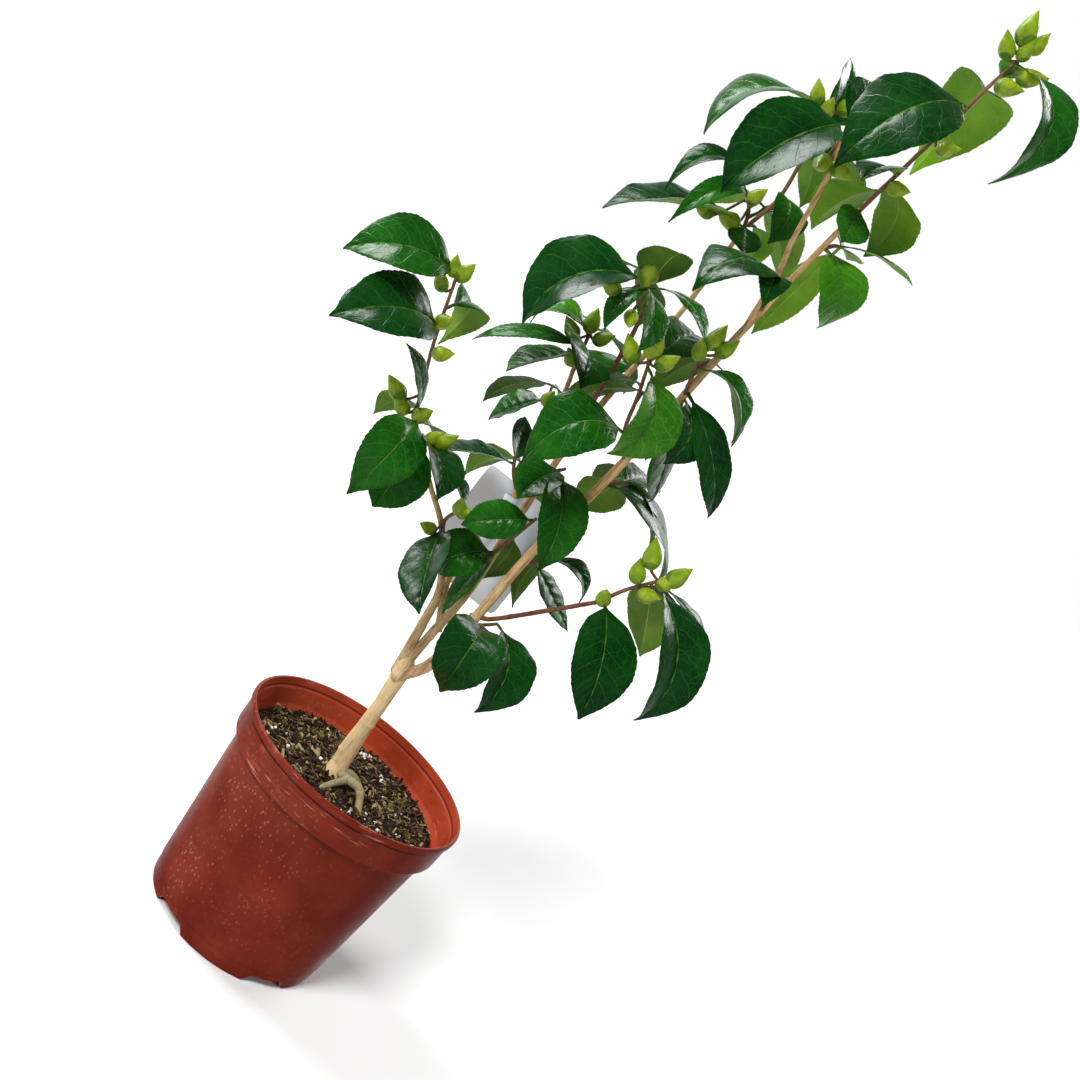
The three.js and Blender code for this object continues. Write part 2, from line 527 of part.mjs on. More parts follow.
for (const [name, bough] of Object.entries(BOUGHS)) {
  model.add(toMesh(name, limbSolid(bough, LIMB_SIDES, 2).subtract(wood), 0x8a6f52, 0.8));
  wood = wood.add(limbSolid(bough, LIMB_SIDES, 2, GAP));
}

Object.entries(MASSES).forEach(([name, mass], i) => {
  model.add(toMesh(name, massSolid(mass).subtract(wood), MASS_COLOURS[i % MASS_COLOURS.length], 0.35));
});

model.add(toMesh('plant_label', labelSolid(), 0xd8dce4, 0.4));

export default model;
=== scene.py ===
import math

import bpy
import numpy as np
from mathutils import Matrix


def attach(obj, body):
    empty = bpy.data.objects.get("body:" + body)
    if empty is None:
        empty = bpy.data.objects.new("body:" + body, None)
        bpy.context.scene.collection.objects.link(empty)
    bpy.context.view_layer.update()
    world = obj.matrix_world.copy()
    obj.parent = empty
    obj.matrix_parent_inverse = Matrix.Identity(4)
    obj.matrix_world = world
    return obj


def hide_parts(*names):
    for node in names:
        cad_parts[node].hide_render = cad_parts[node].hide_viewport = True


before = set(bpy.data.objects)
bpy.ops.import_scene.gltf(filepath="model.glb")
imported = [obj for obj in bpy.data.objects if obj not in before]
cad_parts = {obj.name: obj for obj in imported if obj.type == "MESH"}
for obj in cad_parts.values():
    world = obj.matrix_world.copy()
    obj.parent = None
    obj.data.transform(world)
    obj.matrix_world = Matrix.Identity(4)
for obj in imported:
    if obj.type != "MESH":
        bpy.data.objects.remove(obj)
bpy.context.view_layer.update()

MM = 0.001
BODY = "root"

# The photograph's camera, found from the ellipse of the pot's rim
CAMERA_PLACE = (2.5, -1000.0, 582.0)
CAMERA_PITCH = 11.34
CAMERA_ROLL = 38.7
SENSOR_MM = 36.0
FOCAL_PIXELS = 1411.0
IMAGE_PIXELS = 1080.0

# Pot and soil, as in the solid model
RIM_RADIUS = 95.0
POT_HEIGHT = 164.0
LIP_HEIGHT = 6.0
BAND_RADIUS = 92.0
BAND_BOTTOM = 136.0
BODY_TOP_RADIUS = 87.0
FOOT_RADIUS = 74.0
FOOT_HEIGHT = 12.0
POT_WALL = 1.8
FLOOR_UNDERSIDE = 7.0
FLOOR_TOP = 9.0
PAD_RADIUS = 20.0
NOTCH_COUNT = 5
NOTCH_WIDTH = 33.0
NOTCH_HEIGHT = 7.0
FIRST_NOTCH = -122.0
DRAIN_RADIUS = 5.0
DRAIN_CIRCLE = 48.0
SOIL_LEVEL = 140.0
TWIG_RADIUS = 1.3
PETIOLE_HALF_WIDTH = 1.1

# Trunk, roots and boughs: points on the centre line, and the radius at each
TRUNK = ([[-8, 2, 135], [-10, 3, 150], [-12, 4, 168], [-13, 4, 185], [-14, 3, 209], [-17, 1, 243]],
         [10.5, 7.2, 6.9, 5.8, 5.6, 6.6])
SURFACE_ROOTS = [
    ([[-8, 2, 143], [3, -10, 149], [15, -14, 149], [26, -30, 137]], [4, 3.4, 3, 2.6]),
    ([[3, -10, 149], [-3, -20, 146], [-11, -30, 137]], [3, 2.6, 2.2]),
    ([[-8, 2, 146], [6, 1, 149], [21, 3, 137]], [3, 2.4, 2]),
]
BOUGHS = {
    "right_bough": ([[-15, -1, 236], [-3, -5, 260], [1, -8, 307], [4, -8, 377], [13, -12, 452],
                     [21, -10, 583], [27, -5, 652], [32, 0, 699]],
                    [4.4, 4.2, 3.8, 3.5, 3.2, 2.6, 2.1, 1.9]),
    "middle_bough": ([[-18, 2, 243], [-17, 2, 271], [-15, 6, 316], [-21, 10, 392], [-24, 12, 436],
                      [-24, 22, 487], [-21, 38, 565], [-23, 46, 643]],
                     [3.8, 3.5, 3.2, 2.9, 2.6, 2.3, 2, 1.7]),
    "left_bough": ([[-21, 2, 240], [-27, 2, 279], [-33, 3, 306], [-58, 0, 342], [-83, -10, 364],
                    [-106, -20, 385]],
                   [4, 3.6, 3, 2.3, 1.9, 1.6]),
    "back_bough": ([[-17, 4, 284], [-33, 16, 312], [-37, 24, 346], [-33, 32, 386], [-40, 36, 419],
                    [-49, 34, 464], [-58, 30, 496]],
                   [3, 2.9, 2.7, 2.5, 2.2, 1.9, 1.6]),
    "inner_bough": ([[-24, 12, 434], [-30, -5, 489], [-33, -20, 517], [-36, -35, 541], [-41, -50, 564]],
                    [1.9, 1.8, 1.7, 1.6, 1.5]),
    "upper_bough": ([[21, -10, 592], [15, -18, 633], [9, -22, 654], [1, -25, 697], [-7, -24, 722]],
                    [2, 1.9, 1.8, 1.6, 1.5]),
    "low_bough": ([[2, -8, 310], [12, -12, 317], [38, -25, 350], [61, -40, 381]], [2, 1.8, 1.7, 1.6]),
}

# Masses of foliage: the seed, the number of side twigs at the back, the stem's centre line, the leaves and
# the buds. A leaf is its place along the stem from 0 to 1, heading (0 right, 90 away from the viewer),
# slope, length, width, how far its face turns to the viewer, and arch. A bud is its place, heading, slope,
# reach and length.
MASSES = {
    "foliage_left": (393, 1, [[-106, -20, 385], [-120, -26, 400], [-126, -29, 415], [-140, -33, 450],
         [-154, -38, 496]],
        [[1, -152, -22, 80, 49, 45, 0.31], [0.8, -131, -20, 86, 56, 35, 0.27],
         [0.88, 86, -30, 58, 35, 10, 0.47], [0.3, -119, 37, 68, 21, 60, 0.12],
         [0.22, -93, -59, 74, 43, 15, 0.58], [0.1, -56, -78, 61, 50, 0, 0.12],
         [0.35, 122, -30, 63, 26, 0, 0.19], [0.2, 75, -15, 64, 32, 0, 0.12],
         [0.05, -49, -15, 63, 43, -5, 0.18]],
        [[1, -125, 35, 9, 18], [1, -55, 40, 10, 20], [0.95, -145, 5, 11, 18], [0.85, -55, -5, 7, 20],
         [0.75, -30, -5, 13, 19], [0.5, -160, -20, 18, 22], [0.35, -150, -15, 12, 19],
         [0.3, -45, 20, 9, 20], [0.05, -35, 40, 14, 18], [0.05, -20, 35, 22, 21]]),
    "foliage_low_left": (280, 0, [[-58, 0, 342], [-60, -8, 353], [-54, -16, 368]],
        [[1, 150, 10, 48, 26, 0, 0.15], [0.1, -70, -25, 92, 44, 60, 0.07]],
        [[0.95, -110, 20, 7, 18], [1, -54, -14, 5, 17], [0.4, -135, -50, 14, 17]]),
    "foliage_low_middle": (275, 0, [[-18, 8, 350], [-14, -6, 371], [-9, -16, 395]],
        [[0.95, -159, -38, 52, 32, 40, 0.1], [0.15, -98, -73, 63, 28, -45, 0.05],
         [0.5, 87, -61, 49, 24, 20, 0.28], [0.02, -162, -52, 46, 42, 50, 0.39]],
        []),
    "foliage_front": (295, 0, [[-23, 11, 414], [-21, 0, 425], [-15, -10, 435]],
        [[0.6, -45, -49, 75, 41, 20, 0.31], [0.85, -110, -44, 44, 38, -10, 0.14]],
        []),
    "foliage_low_front": (133, 0, [[1, -8, 300], [9, -20, 311], [16, -28, 320]],
        [[0.5, -79, -61, 58, 51, 10, 0.85], [1, -46, -55, 65, 47, 0, 0.36],
         [0.9, 60, -30, 38, 24, 0, 0.16]],
        []),
    "foliage_right": (149, 1, [[61, -40, 381], [70, -46, 401], [83, -52, 421]],
        [[0.1, -42, -55, 85, 52, 25, 0.23], [0.95, -15, -59, 96, 54, 25, 0.33],
         [0.9, 60, -42, 86, 43, -25, 0.05]],
        [[1, -160, 40, 21, 24], [0.75, -145, 35, 13, 21], [1, -35, 50, 16, 23], [1, -50, 25, 9, 18],
         [0.15, -110, 10, 6, 19], [0.8, -40, -20, 10, 20]]),
    "foliage_low_back": (241, 0, [[4, -8, 360], [12, 6, 368], [19, 18, 373]],
        [[0.7, 3, -17, 41, 22, 20, 0.43], [0.35, 12, -28, 59, 28, 30, 0.02],
         [0.9, 88, -85, 48, 20, -20, 0.55]],
        []),
    "foliage_mid_back": (77, 1, [[12, -11, 442], [20, 0, 448], [26, 10, 453]],
        [[0.15, 34, -24, 101, 56, 15, 0.24], [0.75, 112, -53, 50, 38, 0, 0.1],
         [0.6, 70, 5, 66, 34, 0, 0.12]],
        []),
    "foliage_middle": (84, 1, [[14, -12, 466], [1, -28, 484], [-7, -38, 510], [-15, -44, 532]],
        [[0.3, -151, -50, 75, 50, 40, 0.7], [0.95, -32, -74, 64, 50, 10, 0.49],
         [0.75, 140, -26, 27, 30, 0, 0.15], [1, 81, 16, 100, 40, 5, 0.15]],
        [[1, -120, 60, 14, 23], [1, -160, 0, 16, 22], [1, -30, 35, 14, 20]]),
    "foliage_mid_right": (70, 1, [[19, -11, 524], [14, -18, 541], [10, -24, 557]],
        [[0.05, -33, -64, 48, 44, 5, 0.39], [0.2, 20, -40, 97, 32, 60, 0.17],
         [0.05, 46, -60, 86, 51, 60, 0.02], [0.7, -11, -25, 57, 34, 20, 0.42]],
        [[1, -85, 70, 17, 22], [1, -30, 50, 19, 20], [1, -120, 20, 8, 19]]),
    "foliage_inner_left": (10, 1, [[-58, 30, 496], [-60, 28, 506], [-63, 24, 520]],
        [[0.45, -152, -29, 83, 20, 25, 0.17], [0.3, -133, -40, 61, 50, -15, 0.03],
         [0.4, -73, -14, 65, 58, 10, 0.2], [0.85, 178, -26, 44, 27, 30, 0.54]],
        [[1, -115, 45, 10, 22], [0.9, -155, -15, 15, 20], [0.1, -130, -10, 8, 18],
         [0.95, -30, 15, 13, 19]]),
    "foliage_inner_low": (100, 1, [[-35, 33, 394], [-44, 24, 404], [-50, 18, 415]],
        [[0.75, -148, -21, 57, 45, 0, 0.07], [0.8, 110, 26, 57, 21, -5, 0.02]],
        []),
    "foliage_inner_back": (217, 1, [[-48, 34, 458], [-57, 44, 459], [-63, 50, 455]],
        [[0.75, 158, -56, 48, 36, 45, 0.08]],
        [[0.6, -85, 25, 7, 18]]),
    "foliage_upper_left": (246, 1, [[-41, -50, 564], [-45, -54, 569], [-50, -56, 573]],
        [[0.85, -160, -55, 86, 59, 30, 0.38], [0.6, -84, 36, 50, 39, 25, 0.08],
         [0.5, -135, -78, 39, 19, 10, 0.35], [0.5, -23, -4, 55, 33, 10, 0.25],
         [0.4, -72, -25, 76, 27, -10, 0.14]],
        [[1, -100, 50, 10, 26], [1, -160, -45, 24, 19], [0.4, -65, -75, 22, 17]]),
    "foliage_upper_back": (51, 1, [[-23, 46, 643], [-28, 42, 655], [-36, 36, 662]],
        [[0.05, 205, -29, 107, 69, 0, 0.1], [0.85, -155, -31, 63, 30, 15, 0.54],
         [0.1, -69, -27, 38, 27, 25, 0.02], [0.1, 59, -43, 45, 25, -5, 0.55],
         [0.3, 59, -4, 104, 20, -10, 0.25], [0.9, -125, -42, 72, 20, 20, 0.4]],
        [[0.9, -50, 35, 9, 19], [0.9, -165, -50, 32, 19], [0.6, -135, -60, 18, 23]]),
    "foliage_high_middle": (262, 2, [[-22, 48, 648], [-17, 46, 676], [-22, 37, 710], [-28, 30, 739]],
        [[0.95, -160, -45, 86, 62, 5, 0.35], [0.9, 130, 68, 52, 46, -15, 0.12],
         [0.6, 65, 34, 51, 34, 0, 0.12], [0.35, -59, -51, 43, 34, 0, 0.36]],
        [[1, -155, 20, 15, 20], [1, -100, 15, 6, 19], [1, -30, 45, 17, 21]]),
    "foliage_high_front": (172, 0, [[-7, -24, 722], [-9, -25, 729], [-11, -27, 735]],
        [[0.8, -139, -61, 99, 61, 25, 0.22], [0.6, 105, 52, 47, 34, -5, 0.05]],
        [[0.2, -92, -72, 24, 21], [0.2, -10, -52, 23, 20]]),
    "foliage_top": (197, 0, [[32, 0, 699], [39, 5, 750], [44, 3, 786], [47, 0, 812], [51, -3, 833]],
        [[0.55, -142, -57, 104, 64, 30, 0.28], [0.68, 90, -35, 99, 58, 5, 0.45],
         [0.97, -12, -62, 79, 47, 40, 0.5], [0.12, 58, -50, 59, 48, 15, 0.36],
         [0.15, -110, -25, 54, 34, -20, 0.14], [0.08, 116, -45, 62, 48, 15, 0.15],
         [0, -85, -40, 43, 31, -15, 0.02], [0.8, 60, 25, 58, 34, 0, 0.14]],
        [[1, -140, 60, 21, 25], [1, -155, 10, 14, 20], [1, -95, 50, 10, 18], [1, -60, 65, 17, 18],
         [1, -25, -15, 16, 22], [0.88, -35, -35, 13, 22], [0.35, -30, -10, 13, 18],
         [0.15, -40, -35, 12, 19], [0.4, -160, 10, 19, 16]]),
    "foliage_upper_right": (208, 0, [[28, -4, 662], [34, 8, 670], [39, 16, 673]],
        [[0.1, 0, -55, 54, 43, 60, 0.55], [0.9, 97, -50, 108, 28, 0, 0.02], [1, 80, 1, 59, 32, 10, 0.03],
         [0.8, 6, 11, 58, 32, 5, 0.12]],
        []),
    "foliage_upper_front": (24, 0, [[22, -9, 604], [20, -24, 617], [16, -32, 624]],
        [[0.6, -131, -28, 70, 57, 0, 0.34], [1, -84, -23, 49, 25, 20, 0.3]],
        []),
}

# Blade outline: share along the leaf, then half width as a share of the widest
OUTLINE = [[0, 0], [0.08, 0.02], [0.12, 0.22], [0.22, 0.66], [0.34, 0.93], [0.45, 1], [0.58, 0.96],
           [0.72, 0.76], [0.84, 0.44], [0.93, 0.16], [1, 0.02]]

# Fine leaf mesh
LEAF_ROWS = 66
LEAF_COLUMNS = [0, 0.018, 0.07, 0.19, 0.34, 0.5, 0.66, 0.82, 0.96, 1]
LEAF_TEETH = 22
TOOTH_DEPTH = 0.7
BLADE_THICKNESS = 0.45
PETIOLE_THICKNESS = 1.7
VEIN_PAIRS = 8
LEAVES_PER_PIECE = 27
MIDRIB_WIDTH = 0.03

# Slots of the leaf materials: three tones above, three below, then the rib above and below, and the rim
DARK_TOP, GREEN_TOP, BRIGHT_TOP, GREEN_UNDER, OLIVE_UNDER, LIGHT_UNDER = range(6)
RIB_TOP, RIB_UNDER, LEAF_RIM = range(6, 9)


# Repeatable random numbers from 0 to 1, by the same rule as in the solid model
def random_from(seed):
    state = seed * 7919

    def draw():
        nonlocal state
        state = (state * 1664525 + 1013904223) & 0xFFFFFFFF
        return state / 4294967296
    return draw


# Smooth noise from -1 to 1 at an array of points, by blending random values on a lattice
def soft_noise(points, cell, seed=0):
    place = np.asarray(points, float) / cell
    low = np.floor(place).astype(np.int64)
    part = place - low
    part = part * part * (3 - 2 * part)
    total = np.zeros(place.shape[:-1])
    for corner in np.ndindex(2, 2, 2):
        key = low + np.array(corner)
        mixed = key[..., 0] * 73856093 ^ key[..., 1] * 19349663 ^ key[..., 2] * 83492791
        mixed = mixed ^ (seed * 2654435761)
        mixed = (mixed ^ (mixed >> 13)) * 1274126177 & 0x7FFFFFFF
        value = (mixed ^ (mixed >> 16)) % 65536 / 32767.5 - 1
        weight = np.prod(np.where(np.array(corner) == 1, part, 1 - part), axis=-1)
        total += value * weight
    return total


# Curves through points, and frames along them
def curve_points(points, shares):
    stops = np.asarray(points, float)
    before = 2 * stops[0] - stops[1]
    after = 2 * stops[-1] - stops[-2]
    padded = np.vstack([before, stops, after])
    place = np.clip(np.asarray(shares, float), 0, 1) * (len(stops) - 1)
    first = np.minimum(place.astype(int), len(stops) - 2)
    f = (place - first)[..., None]
    p0, p1, p2, p3 = (padded[first + k] for k in range(4))
    v0 = (p2 - p0) / 2
    v1 = (p3 - p1) / 2
    return (2 * p1 - 2 * p2 + v0 + v1) * f ** 3 + (-3 * p1 + 3 * p2 - 2 * v0 - v1) * f ** 2 + v0 * f + p1


def radius_at(radii, shares):
    return np.interp(np.asarray(shares, float) * (len(radii) - 1), range(len(radii)), radii)


def unit(vectors):
    return vectors / np.linalg.norm(vectors, axis=-1, keepdims=True)


# A turn in round figures, for the chance angles of leaves and buds
TURN = 6.28


def full_turn(sides):
    return np.linspace(0, 2 * math.pi, sides, endpoint=False)


def around(turn, reach=1.0):
    return np.array([reach * math.cos(turn), reach * math.sin(turn), 0])


def direction(heading, slope):
    flat = math.cos(math.radians(slope))
    turn = math.radians(heading)
    return np.array([flat * math.cos(turn), flat * math.sin(turn), math.sin(math.radians(slope))])


# Mesh making: a heap gathers pieces and becomes one object
class Heap:
    def __init__(self):
        self.vertices = []
        self.faces = []
        self.slots = []
        self.coordinates = []
        self.count = 0

    def add(self, vertices, faces, slot=0, coordinates=None):
        vertices = np.asarray(vertices, float).reshape(-1, 3)
        faces = np.asarray(faces, int)
        self.vertices.append(vertices)
        self.faces.extend((faces + self.count).tolist())
        self.slots.append(np.broadcast_to(slot, len(faces)))
        if coordinates is not None:
            self.coordinates.append(np.asarray(coordinates, float).reshape(-1, 2))
        self.count += len(vertices)

    # Closes the rings of points that were added last with one flat face at each end
    def cap(self, rings, sides, slot=0):
        first = self.count - rings * sides
        last = self.count - sides
        self.faces.append([first + j for j in range(sides)][::-1])
        self.faces.append([last + j for j in range(sides)])
        self.slots.append(np.full(2, slot))

    def build(self, name, materials, smooth=True):
        vertices = np.vstack(self.vertices) * MM
        mesh = bpy.data.meshes.new(name)
        mesh.from_pydata(vertices, [], self.faces)
        for material in materials:
            mesh.materials.append(material)
        mesh.polygons.foreach_set("material_index", np.concatenate(self.slots).astype(np.int32))
        mesh.polygons.foreach_set("use_smooth", np.full(len(mesh.polygons), smooth))
        if self.coordinates:
            corner = np.empty(len(mesh.loops), np.int32)
            mesh.loops.foreach_get("vertex_index", corner)
            layer = mesh.uv_layers.new(name="blade")
            layer.data.foreach_set("uv", np.vstack(self.coordinates)[corner].ravel())
        mesh.update()
        thing = bpy.data.objects.new(name, mesh)
        bpy.context.scene.collection.objects.link(thing)
        return thing


def place_piece(thing, slot, *nodes):
    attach(thing, BODY)
    if nodes:
        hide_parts(*nodes)


def grid_faces(rows, columns, wrap=False):
    i, j = np.meshgrid(np.arange(rows - 1), np.arange(columns if wrap else columns - 1), indexing="ij")
    here, there = i * columns + j, i * columns + (j + 1) % columns
    return np.stack([here, there, there + columns, here + columns], -1).reshape(-1, 4)


# Two directions square to an axis and to each other. The guide is chosen by the lie of the whole run.
def frame_across(axis, lie, limit):
    guide = np.array([1.0, 0, 0]) if abs(lie[0]) < limit else np.array([0, 1.0, 0])
    across = unit(np.cross(guide, axis))
    return across, np.cross(axis, across)


# A tapering round limb as a closed tube, with relief(share, angle, place, radius) added to its radius
def add_tube(heap, points, radii, sides, steps, slot=0, relief=None, overrun=0.0):
    shares = np.linspace(0, 1, steps + 1)
    middle = curve_points(points, shares)
    tangent = unit(np.gradient(middle, axis=0))
    middle[0] -= tangent[0] * overrun
    across, other = frame_across(tangent, unit(middle[-1] - middle[0]), 0.6)
    angle = full_turn(sides)
    out = across[:, None] * np.cos(angle)[None, :, None] + other[:, None] * np.sin(angle)[None, :, None]
    radius = np.repeat(radius_at(radii, shares)[:, None], sides, axis=1)
    ring = middle[:, None] + out * radius[..., None]
    if relief is not None:
        radius = radius + relief(shares[:, None], angle[None, :], ring, radius)
        ring = middle[:, None] + out * radius[..., None]
    ends = [middle[:1] - tangent[:1] * 0.2, middle[-1:] + tangent[-1:] * 0.5]
    heap.add(np.vstack([ring.reshape(-1, 3), *ends]), grid_faces(steps + 1, sides, wrap=True), slot)
    first, last = heap.count - 2, heap.count - 1
    here = np.arange(sides) + heap.count - len(ring) * sides - 2
    there = np.roll(here, -1)
    far = steps * sides
    heap.faces.extend(np.stack([np.full(sides, first), there, here], -1).tolist())
    heap.faces.extend(np.stack([np.full(sides, last), here + far, there + far], -1).tolist())
    heap.slots.append(np.full(2 * sides, slot))


# Leaves
def make_leaf(base, shape, draw):
    heading, slope, length, width, turn, arch = shape
    chord = direction(heading, slope)
    upper = direction(heading, slope + 90)
    side = np.cross(chord, upper)
    to_viewer = 1 if side[1] < 0 else -1
    angle = math.radians(turn) * to_viewer
    face = upper * math.cos(angle) + side * math.sin(angle)
    return {"base": base, "chord": chord, "face": face, "length": length, "width": width,
            "arch": arch * (0.85 + 0.3 * draw()), "fold": math.radians(8 + 20 * draw()),
            "droop": 0.1 + 0.15 * draw(), "twist": math.radians(30 * (draw() - 0.5))}


def half_width(leaf, s):
    shares, widths = np.array(OUTLINE).T
    plain = leaf["width"] / 2 * np.interp(s, shares, widths)
    return np.maximum(plain, np.where(s < 0.1, PETIOLE_HALF_WIDTH, 0.6))


# Points of the blade: s runs from the shoot to the tip, w from edge to edge, h is the height over its middle
def blade_points(leaf, s, w, h, half):
    rise = np.array([0, 1.25 * leaf["arch"], 1.15 * leaf["arch"], 0])
    reach = np.array([0, 0.3, 0.78, 1])
    m = 1 - s
    weights = np.stack([m ** 3, 3 * m * m * s, 3 * m * s * s, s ** 3], -1)
    slopes = np.stack([-3 * m * m, 3 * m * m - 6 * m * s, 6 * m * s - 3 * s * s, 3 * s * s], -1)
    along, over = weights @ reach, weights @ rise
    along_rate, over_rate = slopes @ reach, slopes @ rise
    speed = np.hypot(along_rate, over_rate)
    side = np.cross(leaf["face"], leaf["chord"])
    normal = leaf["face"] * (along_rate / speed)[..., None] - leaf["chord"] * (over_rate / speed)[..., None]
    twist = leaf["twist"] * s
    across = side * np.cos(twist)[..., None] + normal * np.sin(twist)[..., None]
    up = normal * np.cos(twist)[..., None] - side * np.sin(twist)[..., None]
    blade = np.clip((s - 0.08) / 0.1, 0, 1)
    lift = half * blade * (math.sin(leaf["fold"]) * np.abs(w) - leaf["droop"] * w * w)
    return (leaf["base"] + leaf["chord"] * (along * leaf["length"])[..., None]
            + leaf["face"] * (over * leaf["length"])[..., None]
            + across * (half * w * math.cos(leaf["fold"]))[..., None] + up * (lift + h)[..., None])


# Sample points on every limb, to keep leaves off the wood
def limb_samples():
    places, reaches = [], []
    for points, radii in [TRUNK, *BOUGHS.values()]:
        shares = np.linspace(0, 1, (len(points) - 1) * 10 + 1)
        places.append(curve_points(points, shares))
        reaches.append(radius_at(radii, shares) + 1)
    return np.vstack(places), np.concatenate(reaches)


LIMB_PLACES, LIMB_REACHES = limb_samples()


def leaf_is_clear(leaf):
    s, w = np.meshgrid(np.arange(2, 13) / 12, np.array([-1, -0.5, 0, 0.5, 1]), indexing="ij")
    spots = blade_points(leaf, s, w, np.zeros_like(s), half_width(leaf, s)).reshape(-1, 3)
    gaps = np.linalg.norm(spots[:, None] - LIMB_PLACES[None], axis=-1)
    return not np.any(gaps < LIMB_REACHES)


def leaf_mesh():
    columns = np.array([-w for w in LEAF_COLUMNS[:0:-1]] + LEAF_COLUMNS)
    rows = np.linspace(0, 1, LEAF_ROWS + 1)
    return np.meshgrid(rows, columns, indexing="ij")


LEAF_S, LEAF_W = leaf_mesh()
LEAF_SHAPE = LEAF_S.shape


def leaf_topology():
    rows, columns = LEAF_SHAPE
    top = grid_faces(rows, columns)
    offset = rows * columns
    under = top[:, ::-1] + offset
    border = list(range(columns))
    border += [i * columns + columns - 1 for i in range(1, rows)]
    border += [(rows - 1) * columns + j for j in range(columns - 2, -1, -1)]
    border += [i * columns for i in range(rows - 2, 0, -1)]
    rim = [[b, a, a + offset, b + offset] for a, b in zip(border, border[1:] + border[:1])]
    midrib = np.abs(LEAF_W[:-1, :-1] + LEAF_W[:-1, 1:]).reshape(-1) / 2 < MIDRIB_WIDTH
    return np.vstack([top, under, rim]), len(rim), midrib, np.array(border)


LEAF_FACES, LEAF_RIMS, LEAF_MIDRIB, LEAF_BORDER = leaf_topology()


def vein_relief(leaf, s, w, half):
    phase = s * VEIN_PAIRS - 1.5 * np.abs(w) ** 1.2 + np.where(w > 0, 0.5, 0) + leaf["sway"]
    nearest = np.abs(phase - np.round(phase))
    side_veins = np.exp(-(nearest / 0.09) ** 2) * np.clip(1.15 - np.abs(w), 0, 1) * np.clip(s * 8 - 1, 0, 1)
    midrib = np.exp(-(w * half / 0.8) ** 2)
    swelling = np.cos(2 * math.pi * phase) * np.clip(1.1 - np.abs(w), 0, 1) * np.clip(s * 6 - 1, 0, 1)
    return -0.22 * side_veins - 0.4 * midrib - 0.2 * swelling


def add_leaf(heap, leaf, number):
    draw = random_from(number + 501)
    leaf = dict(leaf, sway=draw(), wave=2 + 2 * draw(), start=draw() * TURN)
    s, w = LEAF_S, LEAF_W
    tooth = (s * LEAF_TEETH + leaf["sway"]) % 1
    teeth = TOOTH_DEPTH * (tooth - 0.5) * np.clip(s * 5 - 0.8, 0, 1) * np.clip((1 - s) * 6, 0, 1)
    half = half_width(leaf, s)
    half = half + teeth * (np.abs(w) > 0.95)
    petiole = np.clip(1.6 - s * 12, 0, 1)
    thickness = BLADE_THICKNESS + (PETIOLE_THICKNESS - BLADE_THICKNESS) * petiole
    thickness = thickness * np.where(np.abs(w) == 1, 0.35, 1)
    relief = vein_relief(leaf, s, w, half) * (1 - petiole)
    ripple = 0.035 * half * np.sin(leaf["wave"] * TURN * s + leaf["start"] + 2 * np.sign(w)) * w * w
    ripple = ripple * np.clip(s * 5 - 0.5, 0, 1)
    top = blade_points(leaf, s, w, thickness / 2 + relief + ripple, half)
    under = blade_points(leaf, s, w, -thickness / 2 + 0.5 * relief + ripple, half)
    upper = np.where(LEAF_MIDRIB, RIB_TOP, leaf["tone"])
    lower = np.where(LEAF_MIDRIB, RIB_UNDER, leaf["under_tone"])
    slots = np.concatenate([upper, lower, np.full(LEAF_RIMS, LEAF_RIM)])
    flat = np.stack([w * 0.5 + 0.5, s], -1)
    heap.add(np.stack([top, under]), LEAF_FACES, slots, np.stack([flat, flat]))


# Flower buds: a pointed egg with overlapping pointed scales in low steps
BUD_RINGS = 34
BUD_SIDES = 40
BUD_SCALES = 9
SCALE_STEP = 0.75
SCALE_SPREAD = 1.25
SCALE_TURN = 2.4
LOW_SCALES = 2
BUD_GIRTH = 0.29
BROWN_TIPS = 0.3

# Slots of the bud materials: two tones, the low scales, the scales' edges and a brown tip
BUD_GREEN, BUD_YELLOW, BUD_DEEP, BUD_EDGE, BUD_TIP = range(5)


def egg_radius(t):
    return np.sin(math.pi * np.clip(t, 0.0, 1.0) ** 0.7) ** 0.92 * (1 - 0.1 * t)


# For each point of the egg, which scale lies outermost there: 0 is the lowest and shortest
def outer_scale(t, angle, first_turn):
    outer = np.full(t.shape, BUD_SCALES)
    for k in range(BUD_SCALES - 1, -1, -1):
        top = 0.26 + 0.74 * (k + 1) / BUD_SCALES
        off = np.abs((angle - first_turn - k * SCALE_TURN + math.pi) % (2 * math.pi) - math.pi)
        arch = top * np.clip(1 - (off / SCALE_SPREAD) ** 2.2, 0, 1) ** 0.5
        outer = np.where(t < arch, k, outer)
    return outer


